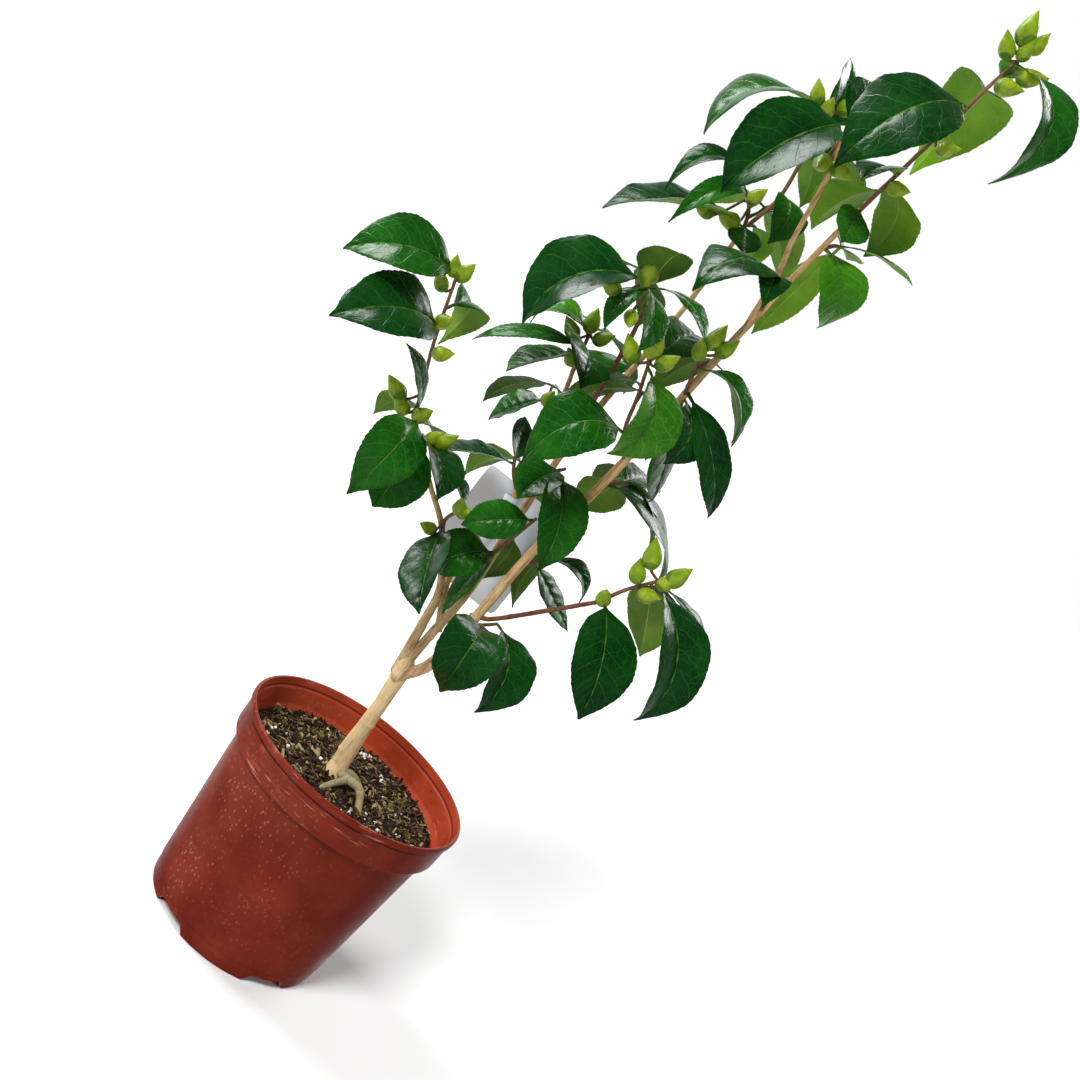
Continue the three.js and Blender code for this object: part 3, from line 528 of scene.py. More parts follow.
def add_bud(heap, base, shape, number):
    heading, slope, reach, length = shape
    draw = random_from(number + 901)
    centre = base + direction(heading, slope) * reach
    axis = unit(direction(heading, slope) + np.array([0, 0, 0.8]))
    across, other = frame_across(axis, axis, 0.7)
    foot = centre - axis * length / 2
    tone = BUD_GREEN if draw() < 0.5 else BUD_YELLOW
    brown_tip = draw() < BROWN_TIPS
    t, a = np.meshgrid(np.linspace(0, 1, BUD_RINGS), full_turn(BUD_SIDES), indexing="ij")
    scale = outer_scale(t, a, TURN * draw())
    step = SCALE_STEP * (BUD_SCALES - scale) / BUD_SCALES
    radius = length * BUD_GIRTH * egg_radius(t) * 0.93 + step * np.clip(egg_radius(t) * 2.5, 0, 1)
    radius = np.maximum(radius, 0.05)
    out = across * np.cos(a)[..., None] + other * np.sin(a)[..., None]
    ring = foot + axis * (t * length)[..., None] + out * radius[..., None]
    faces = grid_faces(BUD_RINGS, BUD_SIDES, wrap=True)
    corners = scale.reshape(-1)[faces]
    slots = np.where(corners.min(axis=1) < LOW_SCALES, BUD_DEEP, tone)
    slots = np.where(corners.max(axis=1) != corners.min(axis=1), BUD_EDGE, slots)
    if brown_tip:
        slots = np.where(t.reshape(-1)[faces].min(axis=1) > 0.93, BUD_TIP, slots)
    heap.add(ring, faces, slots)
    heap.cap(BUD_RINGS, BUD_SIDES, tone)
    return foot, axis


# Shader making
class Shader:
    def __init__(self, name):
        self.material = bpy.data.materials.new(name)
        self.material.use_nodes = True
        self.nodes = self.material.node_tree.nodes
        self.links = self.material.node_tree.links
        self.surface = self.nodes["Principled BSDF"]
        self.place = self.node("ShaderNodeTexCoord").outputs["Object"]

    def node(self, kind, inputs=None, **settings):
        made = self.nodes.new(kind)
        for key, value in settings.items():
            setattr(made, key, value)
        for key, value in (inputs or {}).items():
            self.feed(made.inputs[key], value)
        return made

    def feed(self, socket, value):
        if isinstance(value, bpy.types.NodeSocket):
            self.links.new(value, socket)
        else:
            socket.default_value = value

    def stretch(self, place, scale, turn=(0, 0, 0)):
        inputs = {"Vector": place, "Scale": scale, "Rotation": turn}
        return self.node("ShaderNodeMapping", inputs).outputs["Vector"]

    def parts(self, vector):
        return self.node("ShaderNodeSeparateXYZ", {"Vector": vector}).outputs

    def noise(self, scale, detail=3.0, rough=0.5, place=None):
        inputs = {"Vector": place or self.place, "Scale": scale, "Detail": detail, "Roughness": rough}
        return self.node("ShaderNodeTexNoise", inputs).outputs["Fac"]

    def cells(self, scale, place=None, feature="F1"):
        inputs = {"Vector": place or self.place, "Scale": scale}
        return self.node("ShaderNodeTexVoronoi", inputs, feature=feature).outputs["Distance"]

    # Soft patches of noise, and round dots of the given share of a cell
    def patches(self, scale, detail, low, high, start=0.0, end=1.0):
        return self.level(self.noise(scale, detail), low, high, start, end)

    def dots(self, scale, share, strength, place=None):
        return self.level(self.cells(scale, place), 0.0, share, strength, 0.0)

    def ramp(self, value, stops):
        made = self.node("ShaderNodeValToRGB", {"Fac": value})
        ramp = made.color_ramp
        while len(ramp.elements) < len(stops):
            ramp.elements.new(0.5)
        for element, (position, colour) in zip(ramp.elements, stops):
            element.position = position
            element.color = (*colour, 1)
        return made.outputs["Color"]

    def level(self, value, low, high, start=0.0, end=1.0):
        inputs = {"Value": value, "From Min": low, "From Max": high, "To Min": start, "To Max": end}
        return self.node("ShaderNodeMapRange", inputs, clamp=True).outputs["Result"]

    def maths(self, operation, first, second=0.0):
        return self.node("ShaderNodeMath", {0: first, 1: second}, operation=operation).outputs[0]

    def times(self, first, second):
        return self.maths("MULTIPLY", first, second)

    # Inputs 0, 6 and 7 of a colour mix are its share and its two colours
    def blend(self, share, first, second):
        made = self.node("ShaderNodeMix", data_type="RGBA")
        for socket, value in zip((made.inputs[0], made.inputs[6], made.inputs[7]), (share, first, second)):
            if not isinstance(value, bpy.types.NodeSocket) and socket is not made.inputs[0]:
                value = (*value, 1)
            self.feed(socket, value)
        return made.outputs[2]

    def bump(self, height, strength, distance, after=None):
        inputs = {"Height": height, "Strength": strength, "Distance": distance}
        if after is not None:
            inputs["Normal"] = after
        return self.node("ShaderNodeBump", inputs).outputs["Normal"]

    def finish(self, colour, rough, normal, specular=0.5, **others):
        inputs = {"Base_Color": colour, "Roughness": rough, "Specular_IOR_Level": specular, **others}
        if normal is not None:
            inputs["Normal"] = normal
        for key, value in inputs.items():
            self.feed(self.surface.inputs[key.replace("_", " ")], value)
        return self.material


# Materials
def srgb(red, green, blue):
    def linear(value):
        value = value / 255
        return value / 12.92 if value <= 0.04045 else ((value + 0.055) / 1.055) ** 2.4
    return tuple(linear(v) for v in (red, green, blue))


# Veins drawn in the leaf's own flat coordinates: arched side veins and a fine net between them
def vein_pattern(shader):
    flat = shader.node("ShaderNodeTexCoord").outputs["UV"]
    across, along = shader.parts(flat)[:2]
    offset = shader.maths("ABSOLUTE", shader.maths("SUBTRACT", across, 0.5))
    offset = shader.times(offset, 2.0)
    bend = shader.times(shader.maths("POWER", offset, 1.2), 1.5)
    other_half = shader.times(shader.maths("GREATER_THAN", across, 0.5), 0.5)
    phase = shader.maths("SUBTRACT", shader.times(along, float(VEIN_PAIRS)), bend)
    wobble = shader.times(shader.noise(90.0, 2.0), 0.5)
    phase = shader.maths("ADD", shader.maths("ADD", phase, other_half), wobble)
    near = shader.maths("PINGPONG", phase, 0.5)
    side_veins = shader.level(near, 0.0, 0.045, 1.0, 0.0)
    fade = shader.level(offset, 0.72, 0.95, 1.0, 0.0)
    side_veins = shader.times(side_veins, fade)
    net = shader.cells(1.3, shader.stretch(flat, (6.0, 12.0, 1.0)), "DISTANCE_TO_EDGE")
    net = shader.level(net, 0.0, 0.05, 0.45, 0.0)
    return shader.maths("MAXIMUM", side_veins, net)


def leaf_top_material(name, deep, lit, roughness):
    shader = Shader(name)
    veins = vein_pattern(shader)
    pale = tuple(min(1, 2.0 * c + 0.02) for c in lit)
    colour = shader.blend(shader.patches(30.0, 3.0, 0.35, 0.7), deep, lit)
    colour = shader.blend(shader.times(veins, 0.5), colour, pale)
    colour = shader.blend(shader.dots(240.0, 0.08, 0.25), colour, pale)
    rough = shader.patches(60.0, 3.0, 0.3, 0.7, roughness - 0.05, roughness + 0.08)
    normal = shader.bump(shader.noise(60.0, 2.0), 0.35, 0.0018)
    normal = shader.bump(shader.noise(900.0, 2.0), 0.06, 0.0003, normal)
    normal = shader.bump(veins, 0.4, -0.0003, normal)
    return shader.finish(colour, rough, normal, 0.38, Coat_Weight=0.06, Coat_Roughness=0.1)


def leaf_under_material(name, deep, lit):
    shader = Shader(name)
    veins = vein_pattern(shader)
    pale = tuple(min(1, 1.35 * c + 0.01) for c in lit)
    colour = shader.blend(shader.patches(45.0, 3.0, 0.3, 0.7), deep, lit)
    colour = shader.blend(shader.times(veins, 0.3), colour, pale)
    colour = shader.blend(shader.dots(300.0, 0.1, 0.35), colour, deep)
    rough = shader.patches(80.0, 2.0, 0.3, 0.7, 0.5, 0.62)
    normal = shader.bump(veins, 0.4, 0.0003)
    normal = shader.bump(shader.noise(700.0, 2.0), 0.15, 0.0003, normal)
    return shader.finish(colour, rough, normal, 0.25)


def plain_green_material(name, deep, lit, roughness):
    shader = Shader(name)
    colour = shader.blend(shader.patches(160.0, 3.0, 0.3, 0.7), deep, lit)
    rough = shader.patches(200.0, 2.0, 0.3, 0.7, roughness - 0.05, roughness + 0.08)
    return shader.finish(colour, rough, shader.bump(shader.noise(600.0, 3.0), 0.2, 0.0004))


def leaf_materials():
    return [
        leaf_top_material("leaf_dark", srgb(3, 42, 8), srgb(8, 64, 11), 0.25),
        leaf_top_material("leaf_green", srgb(10, 60, 8), srgb(26, 88, 12), 0.22),
        leaf_top_material("leaf_bright", srgb(34, 90, 8), srgb(60, 116, 18), 0.24),
        leaf_under_material("leaf_under_green", srgb(58, 92, 22), srgb(82, 116, 36)),
        leaf_under_material("leaf_under_olive", srgb(72, 110, 24), srgb(100, 136, 36)),
        leaf_under_material("leaf_under_light", srgb(86, 134, 20), srgb(114, 158, 34)),
        plain_green_material("leaf_midrib", srgb(50, 92, 24), srgb(84, 122, 40), 0.4),
        plain_green_material("leaf_midrib_under", srgb(118, 148, 60), srgb(148, 172, 86), 0.5),
        plain_green_material("leaf_edge", srgb(40, 84, 22), srgb(84, 120, 44), 0.4),
    ]


def bud_materials():
    return [
        plain_green_material("bud_green", srgb(94, 126, 12), srgb(130, 156, 26), 0.3),
        plain_green_material("bud_yellow", srgb(116, 142, 16), srgb(150, 168, 36), 0.3),
        plain_green_material("bud_deep", srgb(66, 102, 14), srgb(96, 128, 24), 0.32),
        plain_green_material("bud_edge", srgb(98, 128, 22), srgb(134, 156, 40), 0.4),
        plain_green_material("bud_tip", srgb(108, 70, 30), srgb(138, 104, 48), 0.6),
    ]


# Pale wood of the boughs near the trunk, from the grain's dark lines to its pale ones
OLD_WOOD = [(0.28, srgb(140, 112, 80)), (0.42, srgb(192, 165, 121)), (0.75, srgb(210, 185, 142))]


# Bark: grained along Z, paler below base_height and turning to its own colour above it
def bark_material(name, pale, dark, streak, share, grain_depth=0.6, base_height=None):
    shader = Shader(name)
    long_grain = shader.stretch(shader.place, (1, 1, 0.1))
    grain = shader.noise(900.0, 5.0, 0.6, long_grain)
    blotch = shader.noise(60.0, 4.0, 0.6)
    brightest = tuple(min(1, c * 1.2) for c in pale)
    colour = shader.ramp(grain, [(0.28, dark), (0.44, pale), (0.75, brightest)])
    if base_height is not None:
        height = shader.parts(shader.place)["Z"]
        turned = shader.level(height, base_height, base_height + 0.12)
        colour = shader.blend(turned, shader.ramp(grain, OLD_WOOD), colour)
    streaks = shader.level(shader.noise(420.0, 4.0, 0.6, long_grain), 0.5, 0.62)
    colour = shader.blend(shader.times(streaks, share), colour, streak)
    colour = shader.blend(shader.level(blotch, 0.5, 0.78, 0.0, 0.45), colour, dark)
    colour = shader.blend(shader.dots(420.0, 0.1, 0.6), colour, dark)
    normal = shader.bump(grain, grain_depth, 0.0005)
    normal = shader.bump(shader.noise(500.0, 4.0), 0.3, 0.0004, normal)
    return shader.finish(colour, shader.level(blotch, 0.3, 0.7, 0.7, 0.88), normal, 0.25)


# Plastic of the pot: worn and dark outside, warmer inside, where it is painted lighter as painted light
# falling into the pot
POT_OUTSIDE = [(0.3, srgb(92, 23, 9)), (0.55, srgb(108, 30, 13)), (0.8, srgb(124, 38, 18))]
POT_INSIDE_PAINTED_LIGHT = [(0.3, srgb(150, 54, 32)), (0.55, srgb(172, 66, 40)), (0.8, srgb(184, 80, 52))]
LIME_AND_SHEEN_HAZE = srgb(160, 84, 62)
LIME_SPLASH = srgb(196, 146, 124)
SCRATCH = srgb(200, 140, 116)
MUD = srgb(52, 22, 14)
GROOVE_PAINTED_SHADE = srgb(44, 14, 8)

# Heights where painted shade darkens the pot: under the lip and under the band
POT_GROOVES = (POT_HEIGHT - LIP_HEIGHT - 0.8, BAND_BOTTOM - 0.6)


def pot_plastic(shader):
    blotch = shader.noise(22.0, 4.0, 0.6)
    outside = shader.ramp(blotch, POT_OUTSIDE)
    # The inside ramp is a lighter copy of the plastic: painted light on the inner wall
    inside = shader.ramp(blotch, POT_INSIDE_PAINTED_LIGHT)
    sideways = shader.stretch(shader.place, (1, 1, 0))
    facing = shader.node("ShaderNodeNewGeometry").outputs["Normal"]
    outward = shader.node("ShaderNodeVectorMath", {0: facing, 1: sideways}, operation="DOT_PRODUCT")
    return shader.blend(shader.level(outward.outputs["Value"], -0.02, 0.0), inside, outside)


# Fine scratches run round the band and the lip, mud lies in spots, and painted shade darkens the grooves
def pot_wear_and_groove_shade(shader, height, colour):
    along = shader.stretch(shader.place, (0.12, 0.12, 1), (0.04, 0.03, 0.0))
    scratches = shader.level(shader.noise(520.0, 4.0, place=along), 0.6, 0.72, 0.0, 0.5)
    scratches = shader.times(scratches, shader.level(height, 0.128, 0.138, 0.1, 1.0))
    scratches = shader.times(scratches, shader.patches(26.0, 3.0, 0.45, 0.6))
    colour = shader.blend(scratches, colour, SCRATCH)
    mud = shader.times(shader.dots(90.0, 0.14, 1.0), shader.patches(40.0, 3.0, 0.48, 0.58))
    colour = shader.blend(mud, colour, MUD)
    # Painted shade: a dark line under the lip and under the band, where the overhang shades the wall
    for groove in POT_GROOVES:
        off = shader.maths("ABSOLUTE", shader.maths("SUBTRACT", height, groove * MM))
        colour = shader.blend(shader.level(off, 0.0003, 0.0011, 0.75, 0.0), colour, GROOVE_PAINTED_SHADE)
    return colour


# Moulded plastic, with splashes of lime on the left and a pale haze there that is partly lime and partly
# painted sheen where the light falls from the left
def pot_material():
    shader = Shader("pot_plastic")
    rightward, _, height = shader.parts(shader.place)
    left = shader.level(rightward, -0.07, 0.02, 1.0, 0.15)
    # The haze is partly painted sheen: a paler film on the lit left side
    haze = shader.level(shader.noise(14.0, 5.0, 0.65), 0.4, 0.72, 0.0, 0.32)
    colour = shader.blend(shader.times(haze, left), pot_plastic(shader), LIME_AND_SHEEN_HAZE)
    gather = shader.times(shader.level(shader.noise(16.0, 4.0, 0.6), 0.42, 0.6), left)
    splashes = shader.dots(340.0, 0.3, 0.75, shader.stretch(shader.place, (1, 1, 0.6)))
    colour = shader.blend(shader.times(splashes, gather), colour, LIME_SPLASH)
    colour = pot_wear_and_groove_shade(shader, height, colour)
    normal = shader.bump(shader.noise(180.0, 4.0), 0.12, 0.0006)
    normal = shader.bump(splashes, 0.2, 0.0002, normal)
    return shader.finish(colour, shader.patches(45.0, 4.0, 0.3, 0.7, 0.32, 0.48), normal, 0.16)


def earth_material(name, dark, pale):
    shader = Shader(name)
    grain = shader.noise(400.0, 5.0, 0.65)
    colour = shader.ramp(grain, [(0.3, dark), (0.7, pale)])
    rough = shader.patches(90.0, 3.0, 0.3, 0.7, 0.8, 0.97)
    return shader.finish(colour, rough, shader.bump(grain, 0.8, 0.0012), 0.25)


def label_material():
    shader = Shader("label_card")
    colour = shader.blend(shader.patches(14.0, 2.0, 0.35, 0.65), srgb(206, 216, 226), srgb(222, 214, 222))
    rough = shader.patches(60.0, 3.0, 0.3, 0.7, 0.3, 0.42)
    return shader.finish(colour, rough, shader.bump(shader.noise(90.0, 3.0), 0.1, 0.0006))


# Wood
def bark_relief(seed, depth, knot_every, length):
    def relief(share, angle, place, radius):
        stretched = place * np.array([1, 1, 0.18])
        ridges = soft_noise(stretched, 1.3, seed) + 0.6 * soft_noise(stretched, 0.6, seed + 1)
        lumps = soft_noise(place, 7, seed + 2)
        run = share * length / knot_every
        knot = np.round(run)
        knots = np.exp(-((run - knot) * knot_every / 1.6) ** 2) * (0.5 + 0.5 * np.cos(angle + 2.4 * knot))
        return depth * radius * (0.5 * ridges + 0.5 * lumps) + 0.11 * radius * knots
    return relief


# Above the fork the trunk closes to a rounded shoulder between its boughs
TRUNK_CROTCH = [-17.5, 1, 252]
CROTCH_RADIUS = 2.4
BOUGH_START = 6
TRUNK_SIDES = 48
LIMB_SIDES = 28
TRUNK_STEP = 0.7
BOUGH_STEP = 0.9
YOUNG_BOUGHS = {"low_bough", "inner_bough"}


def limb_length(points):
    line = curve_points(points, np.linspace(0, 1, 60))
    return float(np.linalg.norm(np.diff(line, axis=0), axis=1).sum())


def build_trunk():
    bark = [bark_material("bark_trunk", srgb(204, 178, 134), srgb(158, 132, 96), srgb(172, 160, 112),
                          0.3, 0.35),
            bark_material("bark_root", srgb(142, 130, 98), srgb(88, 78, 54), srgb(108, 112, 66), 0.5, 0.8)]
    heap = Heap()
    points, radii = TRUNK[0] + [TRUNK_CROTCH], TRUNK[1] + [CROTCH_RADIUS]
    reach = limb_length(points)
    add_tube(heap, points, radii, TRUNK_SIDES, int(reach / TRUNK_STEP), 0, bark_relief(3, 0.055, 31, reach))
    for number, (points, radii) in enumerate(SURFACE_ROOTS):
        reach = limb_length(points)
        relief = bark_relief(20 + number, 0.2, 17, reach)
        add_tube(heap, points, radii, LIMB_SIDES, int(reach / TRUNK_STEP), 1, relief)
    place_piece(heap.build("trunk_bark", bark), "bark", "trunk")


def build_boughs():
    grown = bark_material("bark_bough", srgb(190, 156, 110), srgb(122, 82, 54), srgb(128, 82, 52),
                          0.6, 0.6, 0.27)
    young = bark_material("bark_young", srgb(112, 76, 54), srgb(58, 34, 24), srgb(80, 44, 32), 0.7)
    for number, (name, (points, radii)) in enumerate(BOUGHS.items()):
        heap = Heap()
        reach = limb_length(points)
        relief = bark_relief(40 + 3 * number, 0.1, 27 + 3 * number, reach)
        add_tube(heap, points, radii, LIMB_SIDES, int(reach / BOUGH_STEP), 0, relief, BOUGH_START)
        bark = young if name in YOUNG_BOUGHS else grown
        place_piece(heap.build(name + "_bark", [bark]), "bark", name)


# Tones of the leaf tops: the brightest and the darkest leaves have their place, the rest are dealt out
BRIGHT_LEAVES = {("foliage_middle", 1), ("foliage_upper_right", 0), ("foliage_top", 7)}
DARK_LEAVES = {("foliage_top", 0), ("foliage_top", 1), ("foliage_high_front", 0), ("foliage_upper_left", 0),
               ("foliage_low_front", 0), ("foliage_low_front", 1), ("foliage_left", 1)}
DARK_SHARE = 0.4
BRIGHT_SHARE = 0.1
PALE_UNDER_HEIGHT = 600


def leaf_tone(mass, order, chance):
    if (mass, order) in BRIGHT_LEAVES:
        return BRIGHT_TOP
    if (mass, order) in DARK_LEAVES or chance < DARK_SHARE:
        return DARK_TOP
    return BRIGHT_TOP if chance > 1 - BRIGHT_SHARE else GREEN_TOP


# The undersides high on the plant, against the light, are the palest
def leaf_under_tone(leaf, chance):
    if leaf["base"][2] > PALE_UNDER_HEIGHT:
        return LIGHT_UNDER
    return GREEN_UNDER if chance < 0.5 else OLIVE_UNDER


# Foliage: the leaves, buds and twigs of every mass, by the same seeded rule as the solids
def grow_mass(seed, side_twigs, stem, leaves, buds):
    draw = random_from(seed)
    radii = [TWIG_RADIUS * (1.25 - 0.35 * i / (len(stem) - 1)) for i in range(len(stem))]
    twigs, grown = [(stem, radii)], []

    def leaf_at(base, shape):
        leaf = make_leaf(base, shape, draw)
        if leaf_is_clear(leaf):
            grown.append(leaf)

    for share, *shape in leaves:
        leaf_at(curve_points(stem, share), shape)
    for _ in range(side_twigs):
        base = curve_points(stem, 0.5 + 0.3 * draw())
        heading = 90 - 0.5 * base[0] + 50 * (draw() - 0.5)
        rise = 15 + 20 * draw()
        tip = base + direction(heading, rise) * (16 + 8 * draw())
        twigs.append(([base, tip], [TWIG_RADIUS, TWIG_RADIUS * 0.8]))
        for way in (-1, 1):
            size = 60 + 14 * draw()
            spread = heading + way * (35 + 20 * draw())
            fall = -20 - 30 * draw()
            leaf_at(tip, [spread, fall, size, size * 0.5, 0, 0.16])
    return twigs, grown, [(curve_points(stem, share), shape) for share, *shape in buds]


TWIG_SIDES = 12
TWIG_STEP = 1.5
STALK_RADII = [1.1, 1.0, 1.2]
STALK_SIDES = 10


def build_foliage():
    leaf_finish = leaf_materials()
    twig_bark = bark_material("bark_twig", srgb(118, 84, 60), srgb(58, 36, 28), srgb(88, 96, 44), 0.4)
    all_twigs, all_buds, leaves = Heap(), Heap(), Heap()
    names = []
    number = bud_number = in_piece = 0
    piece = 1
    for name, mass in MASSES.items():
        twigs, grown, buds = grow_mass(*mass)
        for points, radii in twigs:
            reach = limb_length(points)
            relief = bark_relief(70 + number, 0.08, 11, reach)
            add_tube(all_twigs, points, radii, TWIG_SIDES, max(8, int(reach / TWIG_STEP)), 0, relief)
        for order, leaf in enumerate(grown):
            draw = random_from(number + 77)
            leaf["tone"] = leaf_tone(name, order, draw())
            leaf["under_tone"] = leaf_under_tone(leaf, draw())
            add_leaf(leaves, leaf, number)
            number += 1
            in_piece += 1
        for base, shape in buds:
            foot, axis = add_bud(all_buds, base, shape, bud_number)
            stalk = [base, base + (foot - base) * 0.6, foot + axis * 1.5]
            add_tube(all_twigs, stalk, STALK_RADII, STALK_SIDES, 8)
            bud_number += 1
        names.append(name)
        if in_piece >= LEAVES_PER_PIECE or name == list(MASSES)[-1]:
            thing = leaves.build("leaves_" + str(piece), leaf_finish)
            mark_leaf_edges(thing)
            place_piece(thing, "foliage", *names)
            leaves, names, in_piece = Heap(), [], 0
            piece += 1
    place_piece(all_twigs.build("twigs", [twig_bark]), "bark")
    place_piece(all_buds.build("flower_buds", bud_materials()), "foliage")


# The rim of each blade is sharp, so that the two faces shade apart
def mark_leaf_edges(thing):
    mesh = thing.data
    per_leaf = 2 * LEAF_SHAPE[0] * LEAF_SHAPE[1]
    on_border = np.zeros(per_leaf, bool)
    on_border[LEAF_BORDER] = True
    on_border[LEAF_BORDER + per_leaf // 2] = True
    ends = np.empty(len(mesh.edges) * 2, np.int32)
    mesh.edges.foreach_get("vertices", ends)
    ends = ends.reshape(-1, 2) % per_leaf
    same_side = (ends[:, 0] < per_leaf // 2) == (ends[:, 1] < per_leaf // 2)
    sharp = on_border[ends[:, 0]] & on_border[ends[:, 1]] & same_side
    mesh.attributes.new("sharp_edge", "BOOLEAN", "EDGE").data.foreach_set("value", sharp)


# Pot
POT_SIDES = 192
POT_ROUNDING = 0.7
POT_SHARP_ANGLE = 35
DRAIN_SIDES = 32
NOTCH_DEPTH = 14


def lathe(profile, sides):
    profile = np.asarray(profile, float)
    angle = full_turn(sides)
    ring = np.stack([profile[:, :1] * np.cos(angle), profile[:, :1] * np.sin(angle),
                     np.repeat(profile[:, 1:], sides, axis=1)], -1)
    return ring.reshape(-1, 3), grid_faces(len(profile), sides, wrap=True)


def rounded(points, reach, steps=5):
    result = [points[0]]
    for before, corner, after in zip(points, points[1:], points[2:]):
        before, corner, after = (np.array(p, float) for p in (before, corner, after))
        cut_in = min(reach, np.linalg.norm(before - corner) * 0.45)
        cut_out = min(reach, np.linalg.norm(after - corner) * 0.45)
        start = corner + unit(before - corner) * cut_in
        end = corner + unit(after - corner) * cut_out
        for t in np.linspace(0, 1, steps):
            result.append(tuple((1 - t) ** 2 * start + 2 * t * (1 - t) * corner + t * t * end))
    result.append(points[-1])
    return result


def body_radius(z):
    return FOOT_RADIUS + (BODY_TOP_RADIUS - FOOT_RADIUS) * z / BAND_BOTTOM


def cut_away(thing, cutters):
    for cutter in cutters:
        modifier = thing.modifiers.new("cut", "BOOLEAN")
        modifier.operation = "DIFFERENCE"
        modifier.solver = "EXACT"
        modifier.object = cutter
    evaluated = thing.evaluated_get(bpy.context.evaluated_depsgraph_get())
    mesh = bpy.data.meshes.new_from_object(evaluated)
    thing.modifiers.clear()
    thing.data = mesh
    for cutter in cutters:
        bpy.data.objects.remove(cutter)


# Section of the pot, from the middle of its underside out, up, over the rim and back down inside
def pot_section():
    lip = POT_HEIGHT - LIP_HEIGHT
    return [
        (0.5, 0), (PAD_RADIUS, 0), (PAD_RADIUS + 2, FLOOR_UNDERSIDE), (FOOT_RADIUS - 5, FLOOR_UNDERSIDE),
        (FOOT_RADIUS - 4, 0), (FOOT_RADIUS, 0), (body_radius(FOOT_HEIGHT), FOOT_HEIGHT),
        (body_radius(FOOT_HEIGHT) + 0.6, FOOT_HEIGHT + 0.6), (BODY_TOP_RADIUS, BAND_BOTTOM + 1),
        (BAND_RADIUS - 0.5, BAND_BOTTOM), (BAND_RADIUS, BAND_BOTTOM + 1), (BAND_RADIUS + 1, lip),
        (RIM_RADIUS - 0.5, lip + 0.5), (RIM_RADIUS, POT_HEIGHT - 1.5), (RIM_RADIUS - 1, POT_HEIGHT),
        (RIM_RADIUS - 2.6, POT_HEIGHT), (RIM_RADIUS - 3.4, lip - 1), (BAND_RADIUS - 1.8, lip - 3),
        (BAND_RADIUS - 3, BAND_BOTTOM + 5), (BODY_TOP_RADIUS - POT_WALL, BAND_BOTTOM - 2),
        (body_radius(FLOOR_TOP) - POT_WALL, FLOOR_TOP), (0.5, FLOOR_TOP),
    ]


def notch_cutter(turn):
    half = NOTCH_WIDTH / 2
    outline = [(-half - 3, -1), (half + 3, -1), (half - 3, NOTCH_HEIGHT), (3 - half, NOTCH_HEIGHT)]
    out = around(turn)
    along = np.array([-math.sin(turn), math.cos(turn), 0])
    near = [out * (FOOT_RADIUS - 11) + along * a + np.array([0, 0, z]) for a, z in outline]
    heap = Heap()
    heap.add(near + [point + out * NOTCH_DEPTH for point in near],
             [[3, 2, 1, 0], [4, 5, 6, 7], [0, 1, 5, 4], [1, 2, 6, 5], [2, 3, 7, 6], [3, 0, 4, 7]])
    return heap.build("notch_cutter", [], smooth=False)


def drain_cutter(turn):
    ring, walls = lathe([(DRAIN_RADIUS, 2), (DRAIN_RADIUS, FLOOR_TOP + 4)], DRAIN_SIDES)
    heap = Heap()
    heap.add(ring + around(turn, DRAIN_CIRCLE), walls)
    heap.cap(2, DRAIN_SIDES)
    return heap.build("drain_cutter", [], smooth=False)


def build_pot():
    section = rounded(pot_section(), POT_ROUNDING)
    heap = Heap()
    heap.add(*lathe(section, POT_SIDES))
    heap.cap(len(section), POT_SIDES)
    pot = heap.build("nursery_pot", [pot_material()])
    cutters = []
    for i in range(NOTCH_COUNT):
        turn = math.radians(FIRST_NOTCH + i * 360 / NOTCH_COUNT)
        cutters += [notch_cutter(turn), drain_cutter(turn + math.pi / NOTCH_COUNT)]
    cut_away(pot, cutters)
    mark_sharp(pot, POT_SHARP_ANGLE)
    place_piece(pot, "pot", "pot")


def mark_sharp(thing, degrees):
    thing.data.polygons.foreach_set("use_smooth", np.ones(len(thing.data.polygons), bool))
    thing.data.set_sharp_from_angle(angle=math.radians(degrees))


# Soil: a crumbly filling, then bits of bark, perlite and moss and thin fibres strewn on it
SOIL_RADIUS = 84.4
SOIL_RINGS = 90
SOIL_SIDES = 240


def soil_height(x, y):
    points = np.stack([x, y, np.zeros_like(x)], -1)
    height = SOIL_LEVEL + 1.6 * soft_noise(points, 16, 5) + 1.3 * soft_noise(points, 6, 6)
    height = height + 0.8 * soft_noise(points, 2.4, 7)
    near_trunk = np.exp(-((x + 8) ** 2 + (y - 2) ** 2) / 420)
    near_wall = np.clip((np.hypot(x, y) - 70) / 14, 0, 1)
    return height + 2.0 * near_trunk - 2.0 * near_wall


def build_soil():
    r, a = np.meshgrid(np.linspace(0.4, SOIL_RADIUS, SOIL_RINGS), full_turn(SOIL_SIDES), indexing="ij")
    x, y = r * np.cos(a), r * np.sin(a)
    top = np.stack([x, y, soil_height(x, y)], -1).reshape(-1, 3)
    foot, _ = lathe([(body_radius(FLOOR_TOP) - POT_WALL - 1, FLOOR_TOP + 0.4)], SOIL_SIDES)
    heap = Heap()
    heap.add(np.vstack([top, foot]), grid_faces(SOIL_RINGS + 1, SOIL_SIDES, wrap=True))
    heap.cap(SOIL_RINGS + 1, SOIL_SIDES)
    earth = earth_material("compost", srgb(22, 15, 11), srgb(52, 38, 27))
    place_piece(heap.build("compost", [earth]), "soil", "soil")


SOIL_BITS = 2700
SOIL_FIBRES = 480
BITS_REACH = 83
FIBRES_START = 78
FIBRES_REACH = 82
BIT_SHARES = [0.56, 0.27, 0.105, 0.04, 0.025]
PERLITE = 4
CUBE = np.array([[x, y, z] for x in (-1, 1) for y in (-1, 1) for z in (-1, 1)], float)
CUBE_FACES = np.array([[0, 1, 3, 2], [4, 6, 7, 5], [0, 4, 5, 1], [2, 3, 7, 6], [0, 2, 6, 4], [1, 5, 7, 3]])


